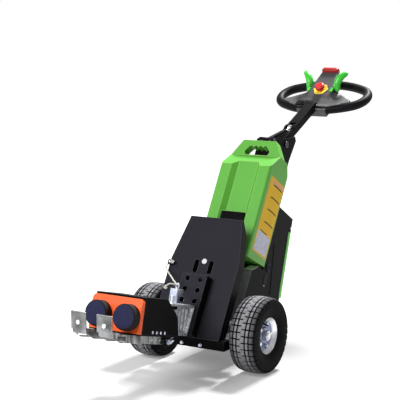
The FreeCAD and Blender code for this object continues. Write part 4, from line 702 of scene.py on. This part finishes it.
battery_green = moulded("battery_green", tone(88, 166, 56), tone(206, 232, 150))
dress(battery_green, "battery_pack")
black_plastic = moulded("black_plastic", tone(12, 12, 13), tone(52, 52, 58), gleam=0.03)
dress(black_plastic, "battery_latch")
pack = {"foot": (107, 402), "turn": -30}
# Painted shade: a near black block fills the foot of the recess, where a dark band of shade shows.
block("recess_shade_block", (-50.5, 2.5, 119), (50.5, 27, 171.5), 2.5, black_plastic, "chassis", "black_plastic",
      **pack)
block("recess_lip", (-53, 9, 171.2), (53, 21, 175.5), 1.6, battery_green, "chassis", "green_shell", **pack)


# Side sheets. A yellow printed film with a striped edge is stuck on each side of the battery. It says
# nothing: it has faint rows of dots, four dark strokes, a pink and a brown bar and a lavender field.

sheet_wide, sheet_tall = 122, 306.5
sheet_corner = (24.5, 34.5)                  # its front lower corner on the shell's side
film_foot, film_face = 110.02, 110.45        # out from the battery's middle


def striped_sheet():
    """Printed film: stripes slanted 45 degrees on a border of 6 mm, yellow with faint rows of dots within,
    then the field and bars, then strokes that sag as 0.0016 times the square of the way from 75 mm. It
    reads the sheet's own UV map, in millimetres from its corner: patches are left, right, foot, head."""
    finish, shader, place = new_finish("printed_sheet", Roughness=0.5, Specular_IOR_Level=0.1)
    corner = add(finish, "SeparateXYZ", {0: add(finish, "UVMap").outputs["UV"]})
    across, up = corner.outputs["X"], corner.outputs["Y"]

    def between(value, low, high):
        return reckon(finish, "MULTIPLY", reckon(finish, "GREATER_THAN", value, low),
                      reckon(finish, "LESS_THAN", value, high))

    def field(left, right, foot, head, height=up):
        return reckon(finish, "MULTIPLY", between(across, left, right), between(height, foot, head))

    cloud = noise(finish, place, 34.0, 4.0)
    fine = noise(finish, place, 420.0, 3.0)
    line = reckon(finish, "MODULO", up, 6.5)
    print_row = reckon(finish, "MULTIPLY", between(fine, 0.48, 1.0), field(12, 104, 2.2, 4.4, line))
    body = blend(finish, cloud, tone(232, 182, 40), tone(252, 206, 54))
    body = blend(finish, reckon(finish, "MULTIPLY", print_row, 0.28), body, tone(120, 84, 20))
    slant = reckon(finish, "MODULO", reckon(finish, "ADD", across, up), 9.0)
    border = blend(finish, reckon(finish, "LESS_THAN", slant, 4.5), tone(250, 206, 70), tone(196, 146, 44))
    lavender = blend(finish, between(fine, 0.5, 1.0), tone(232, 234, 248), tone(176, 178, 196))
    body = blend(finish, field(6, 116, 6, 301), border, body)
    for patch, paint in (((9, 114, 8, 86), lavender), ((22, 80, 88, 92), tone(60, 40, 30)),
                         ((20, 112, 284, 298), tone(232, 170, 130))):
        body = blend(finish, field(*patch), body, paint)
    off_middle = reckon(finish, "SUBTRACT", across, 75.0)
    sag = reckon(finish, "MULTIPLY", reckon(finish, "POWER", off_middle, 2.0), 0.0016)
    level = reckon(finish, "ADD", up, sag)
    for foot in (128, 180, 230, 279):
        body = blend(finish, field(36, 112, foot, foot + 5, level), body, tone(20, 14, 6))
    wire(finish, shader, Base_Color=body, Normal=bumps(finish, cloud, 0.0002, 0.4))
    return finish


def stuck_sheet(name, sign, finish, cells=(12, 30)):
    """A film 0.4 mm thick on the shell's side: an even grid whose outer row is turned down to the shell.
    Its UV map is millimetres across and up."""
    u, v = np.meshgrid(np.linspace(0, 1, cells[0] + 1), np.linspace(0, 1, cells[1] + 1), indexing="ij")
    edge = (u == 0) | (u == 1) | (v == 0) | (v == 1)
    points = np.stack([sign * np.where(edge, film_foot, film_face), sheet_corner[0] + sheet_wide * u,
                       sheet_corner[1] + sheet_tall * v], -1)
    i, j = np.meshgrid(range(cells[0]), range(cells[1]), indexing="ij")
    row = cells[1] + 1
    quad = np.stack([i * row + j, (i + 1) * row + j, (i + 1) * row + j + 1, i * row + j + 1],
                    -1).reshape(-1, 4)[:, ::sign]
    made = skin(name, set_out(points, **pack), quad.tolist())
    flat = np.stack([sheet_wide * (u if sign > 0 else 1 - u), sheet_tall * v], -1).reshape(-1, 2)
    layer = made.data.uv_layers.new(name="UVMap")
    corner = np.empty(len(made.data.loops), int)
    made.data.loops.foreach_get("vertex_index", corner)
    layer.data.foreach_set("uv", flat[corner].ravel())
    made.data.materials.append(finish)
    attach(made, "chassis")


sheet_print = striped_sheet()
for sign, side in both_sides:
    stuck_sheet("side_sheet_" + side, sign, sheet_print)


# Rear housing. A black moulded shell on two rails, open in the middle. Light grey strips on the rails'
# # fronts are painted light, ending under pale caps on the facets that are painted highlights, and each side
# # has a blind slot, a grommet, two screws and a green strip.

dress(black_plastic, "rear_housing")
# Painted light: a light grey strip on each rail's front shows it lit, though it stands in the mast's shade.
painted_light_strip = powder_coat("painted_light_strip", tone(168, 168, 176), tone(226, 224, 220), roughness=0.4)
# Painted highlight: near white caps on the housing's facets, which lie in shade under the battery, render
# bright.
painted_highlight_strip = powder_coat("painted_highlight_strip", tone(252, 249, 240), tone(255, 255, 250), roughness=0.4)
grommet_rubber = black_rubber("grommet_rubber", tone(20, 20, 34), 0.7, 300.0)
strip_green = moulded("strip_green", tone(96, 190, 74), tone(150, 230, 130), 0.4)
housing_facet = {"foot": (154.6, 336.4), "turn": 7.5}
rear_edge = {"foot": (470.1, 434.9), "turn": -17.9}
fold_line = {"foot": (332.2, 410.0), "turn": -9.8}
grommet_form = turned([(18, 0), (18, 2), (15, 4), (9, 4), (7, 1.2)], 36)
side_face = 106
for sign, side in both_sides:
    low, high = sorted((sign * 66, sign * 105))
    block("rail_painted_light_" + side, (low, 72.8, -292), (high, 74.6, -35.5), 0.6, painted_light_strip, "chassis",
          "black_plastic", **pack)
    low, high = sorted((sign * 66.5, sign * 105.5))
    block("facet_highlight_cap_" + side, (low, 1, -0.4), (high, 53, 1.2), 0.5, painted_highlight_strip, "chassis", "black_plastic",
          **housing_facet)
    low, high = sorted((sign * 105.7, sign * 107.0))
    block("edge_strip_" + side, (low, -21, -264), (high, -0.5, -1), 0.5, strip_green, "chassis", "green_trim",
          **rear_edge)
    block("side_fold_" + side, (low, -1.6, -196), (sign * 0.6 + high, 0.4, 0), 0.4, black_plastic, "chassis",
          "black_plastic", **fold_line)
    block("side_slot_" + side, (low, 180, -46), (high, 203, -5), 0.6, grommet_rubber, "chassis",
          "black_plastic", **pack)
    fasten("side_grommet_" + side, grommet_form, [(sign * side_face, 194, 22)], (sign, 0, 0), grommet_rubber,
           "chassis", "black_plastic", **pack)
    fasten("side_screws_" + side, dome_screw(3.4, 2.2),
           [(sign * side_face, 192, -52), (sign * side_face, 289, 224)], (sign, 0, 0), zinc_plate, "chassis",
           "zinc", **pack)


# Rear cover. A bright green plastic moulding, glossier than the battery's shell, closes the back of the
# housing. It is screwed on from inside, so no screw shows.

bright_green = moulded("bright_green", tone(62, 196, 56), tone(140, 236, 128), 0.3, gleam=0.45)
dress(bright_green, "rear_cover")


# Strut. A gas strut props the tiller on the post: a black barrel with ribs, and a ground steel rod whose
# eye sits with wide play on a pin through the tiller's fork.

dress(black_plastic, "strut_barrel")
dress(turned_steel, "strut_rod")


# Handle. A closed oval of bent tube under a soft black grip, fixed in the console's foot. The operator
# steers by it with one hand or two.

dress(moulded("grip_black", tone(15, 15, 18), tone(40, 40, 45), 0.5, gleam=0.08), "handle_ring")


# Controls. Moulded plastic, set in the console: green rockers under the thumbs, a red mushroom button on a
# yellow plate that cuts the power, a red band that stops the tug when pressed, and a black key switch.

dress(bright_green, "thumb_rocker_left", "thumb_rocker_right")
dress(moulded("stop_red", tone(206, 34, 36), tone(250, 150, 140), 0.22, gleam=0.5), "emergency_button")
band_red = moulded("band_red", tone(150, 22, 24), tone(214, 90, 84), 0.3)
dress(band_red, "tip_switch_band")
dress(moulded("stop_yellow", tone(232, 200, 60), tone(250, 230, 130), 0.4), "emergency_plate")
dress(black_plastic, "key_switch")


# Head. One black moulding with soft edges: a console that narrows towards the operator, and shoulders that
# run out over the near side of the handle. It is drawn from the frame's solid with the shoulders added,
# melted together and smoothed.

tiller = {"foot": (561.9, 775), "turn": 25}


def melted(name, forms, voxel, passes, finish, body):
    """Forms joined into one skin: their meshes are merged, remeshed in cubes of the voxel's size, and each
    point is then moved toward its neighbours' middle, a given number of passes."""
    points, faces, count = [], [], 0
    for spots, loops in forms:
        points.append(np.asarray(spots, float))
        faces += [[v + count for v in loop] for loop in loops]
        count += len(spots)
    rough = skin(name + "_rough", np.vstack(points), faces)
    cubes = rough.modifiers.new("cubes", "REMESH")
    cubes.mode = "VOXEL"
    cubes.voxel_size = voxel
    ease = rough.modifiers.new("ease", "SMOOTH")
    ease.factor = 0.5
    ease.iterations = passes
    bpy.context.view_layer.update()
    ready = rough.evaluated_get(bpy.context.evaluated_depsgraph_get())
    mesh = bpy.data.meshes.new_from_object(ready)
    mesh.name = name
    bpy.data.objects.remove(rough)
    made = bpy.data.objects.new(name, mesh)
    bpy.context.scene.collection.objects.link(made)
    mesh.polygons.foreach_set("use_smooth", [True] * len(mesh.polygons))
    mesh.materials.clear()
    mesh.materials.append(finish)
    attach(made, body)
    return made


def node_form(name):
    """A CAD node's points and faces, with doubles merged by rounding to a thousandth of a millimetre."""
    mesh = nodes[name].data
    spots = np.empty(len(mesh.vertices) * 3)
    mesh.vertices.foreach_get("co", spots)
    spots, back = np.unique(np.round(spots.reshape(-1, 3), 6), axis=0, return_inverse=True)
    back = back.ravel()
    loops = [[int(back[v]) for v in face.vertices] for face in mesh.polygons]
    return spots, [loop for loop in loops if len(set(loop)) == len(loop)]


def shoulder_form(foot=-17.0, along_x=61, along_y=13):
    """A slab 16 mm thick over the near side of the handle. Its near edge is the handle's centre line, the
    ellipse a = 440 - 112 sqrt(1 - (x / 200)^2), its far edge falls away from the console, and its top rises
    to the console by a smooth step."""
    x = np.linspace(-150, 150, along_x)
    part = np.linspace(0, 1, along_y)
    near = 440 - 112 * np.sqrt(1 - (x / 200) ** 2)
    far = np.interp(np.abs(x), [0, 48, 70, 98, 125, 144, 150], [470, 458, 446, 432, 408, 396, 388])
    grid_x = np.broadcast_to(x[:, None], (along_x, along_y))
    along = near[:, None] + (far - near)[:, None] * part
    ease = np.clip((96 - np.abs(grid_x)) / 50, 0, 1)
    ease = ease * ease * (3 - 2 * ease)
    rise = np.clip((along - 340) / 60, 0, 1)
    top = 0.5 + ease * rise * 12 - 5 * np.clip((part - 0.75) * 4, 0, 1) ** 2 * (1 - ease)
    upper = np.stack([grid_x, along, top], -1)
    lower = np.stack([grid_x, along, np.full(top.shape, foot)], -1)
    index = np.arange(along_x * along_y).reshape(along_x, along_y)
    quad = np.stack([index[:-1, :-1], index[1:, :-1], index[1:, 1:], index[:-1, 1:]], -1).reshape(-1, 4)
    rim = np.concatenate([index[:, 0], index[-1, 1:], index[-2::-1, -1], index[0, -2:0:-1]])
    after = np.roll(rim, -1)
    wall = np.stack([rim, rim + index.size, after + index.size, after], -1)
    points = set_out(np.vstack([upper.reshape(-1, 3), lower.reshape(-1, 3)]), **tiller)
    return points, np.vstack([quad, quad[:, ::-1] + index.size, wall]).tolist()


head_coat = moulded("head_coat", tone(66, 65, 67), tone(120, 120, 122), 0.5, gleam=0.3)
head_moulding = melted("head_moulding", [node_form("head_console"), shoulder_form()], 0.0022, 8, head_coat,
                       "tiller")
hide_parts("head_console")
block("tip_cap", (-38, 534, 42), (38, 560, 64), 8, band_red, "tiller", "red", **tiller)
block("arm_tongue", (-19, 303.5, 0.5), (19, 336, 16.5), 3, black_steel, "tiller", "black_paint", **tiller)


# Levers. Bright green butterfly levers, moulded in one piece, stand on the handle's two stubs beside the
# console: a flat round boss, and on it a thumb horn that sweeps out and up.

def lever_form(sign, around=24):
    """A fat bent tube, up from the stub and out along the thumb horn, its radius swelling and then shrinking,
    and the boss at its foot. The bends are a cubic through six spots of (x, along, above, radius)."""
    spots = np.array([(66, 447, 8, 11), (65, 455, 24, 14), (66, 466, 40, 16), (74, 478, 53, 15.5),
                      (86, 492, 61, 13.5), (98, 504, 63, 10)], float)
    t = np.linspace(0, 5, 26)
    low = np.clip(t.astype(int), 0, 4)
    near = np.clip(low[:, None] + np.arange(-1, 3), 0, 5)
    s = (t - low)[:, None]
    before, start, end, after = (spots[near[:, k]] for k in range(4))
    line = 0.5 * (2 * start + (end - before) * s + (2 * before - 5 * start + 4 * end - after) * s ** 2
                  + (3 * start - before - 3 * end + after) * s ** 3)
    centre, reach = line[:, :3], line[:, 3]
    ahead = np.gradient(centre, axis=0)
    side = np.cross(ahead, (-1.0, 1.0, 0))
    side /= np.linalg.norm(side, axis=1)[:, None]
    up = np.cross(side, ahead)
    up /= np.linalg.norm(up, axis=1)[:, None]
    angle = np.arange(around) / around * 2 * math.pi
    ring = centre[:, None] + reach[:, None, None] * (np.cos(angle)[None, :, None] * side[:, None]
                                                     + np.sin(angle)[None, :, None] * up[:, None])
    horn = np.vstack([ring.reshape(-1, 3), centre[:1] - (0, 4, 7), centre[-1:] + (4, 4, -1)])
    index = np.arange(ring.size // 3).reshape(-1, around)
    after = np.roll(index, -1, axis=1)
    tube = np.stack([index[:-1], after[:-1], after[1:], index[1:]], -1).reshape(-1, 4).tolist()
    foot, tip = index.size, index.size + 1
    tube += [[foot, b, a] for a, b in zip(index[0].tolist(), after[0].tolist())]
    tube += [[tip, a, b] for a, b in zip(index[-1].tolist(), after[-1].tolist())]
    boss, loops = turned([(24, 0), (26, 2), (26, 8), (24, 10)], 40)
    boss = boss[:, (2, 0, 1)] + np.array([56, 462, 22])
    return [(set_out(points * (sign, 1, 1), **tiller), [face[::sign] for face in faces])
            for points, faces in ((horn, tube), (boss, loops))]


dress(bright_green, "drive_lever_left", "drive_lever_right")
for sign, side in both_sides:
    lever = melted("butterfly_lever_" + side, lever_form(sign), 0.0016, 6, bright_green, "tiller")
    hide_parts("drive_lever_" + side)
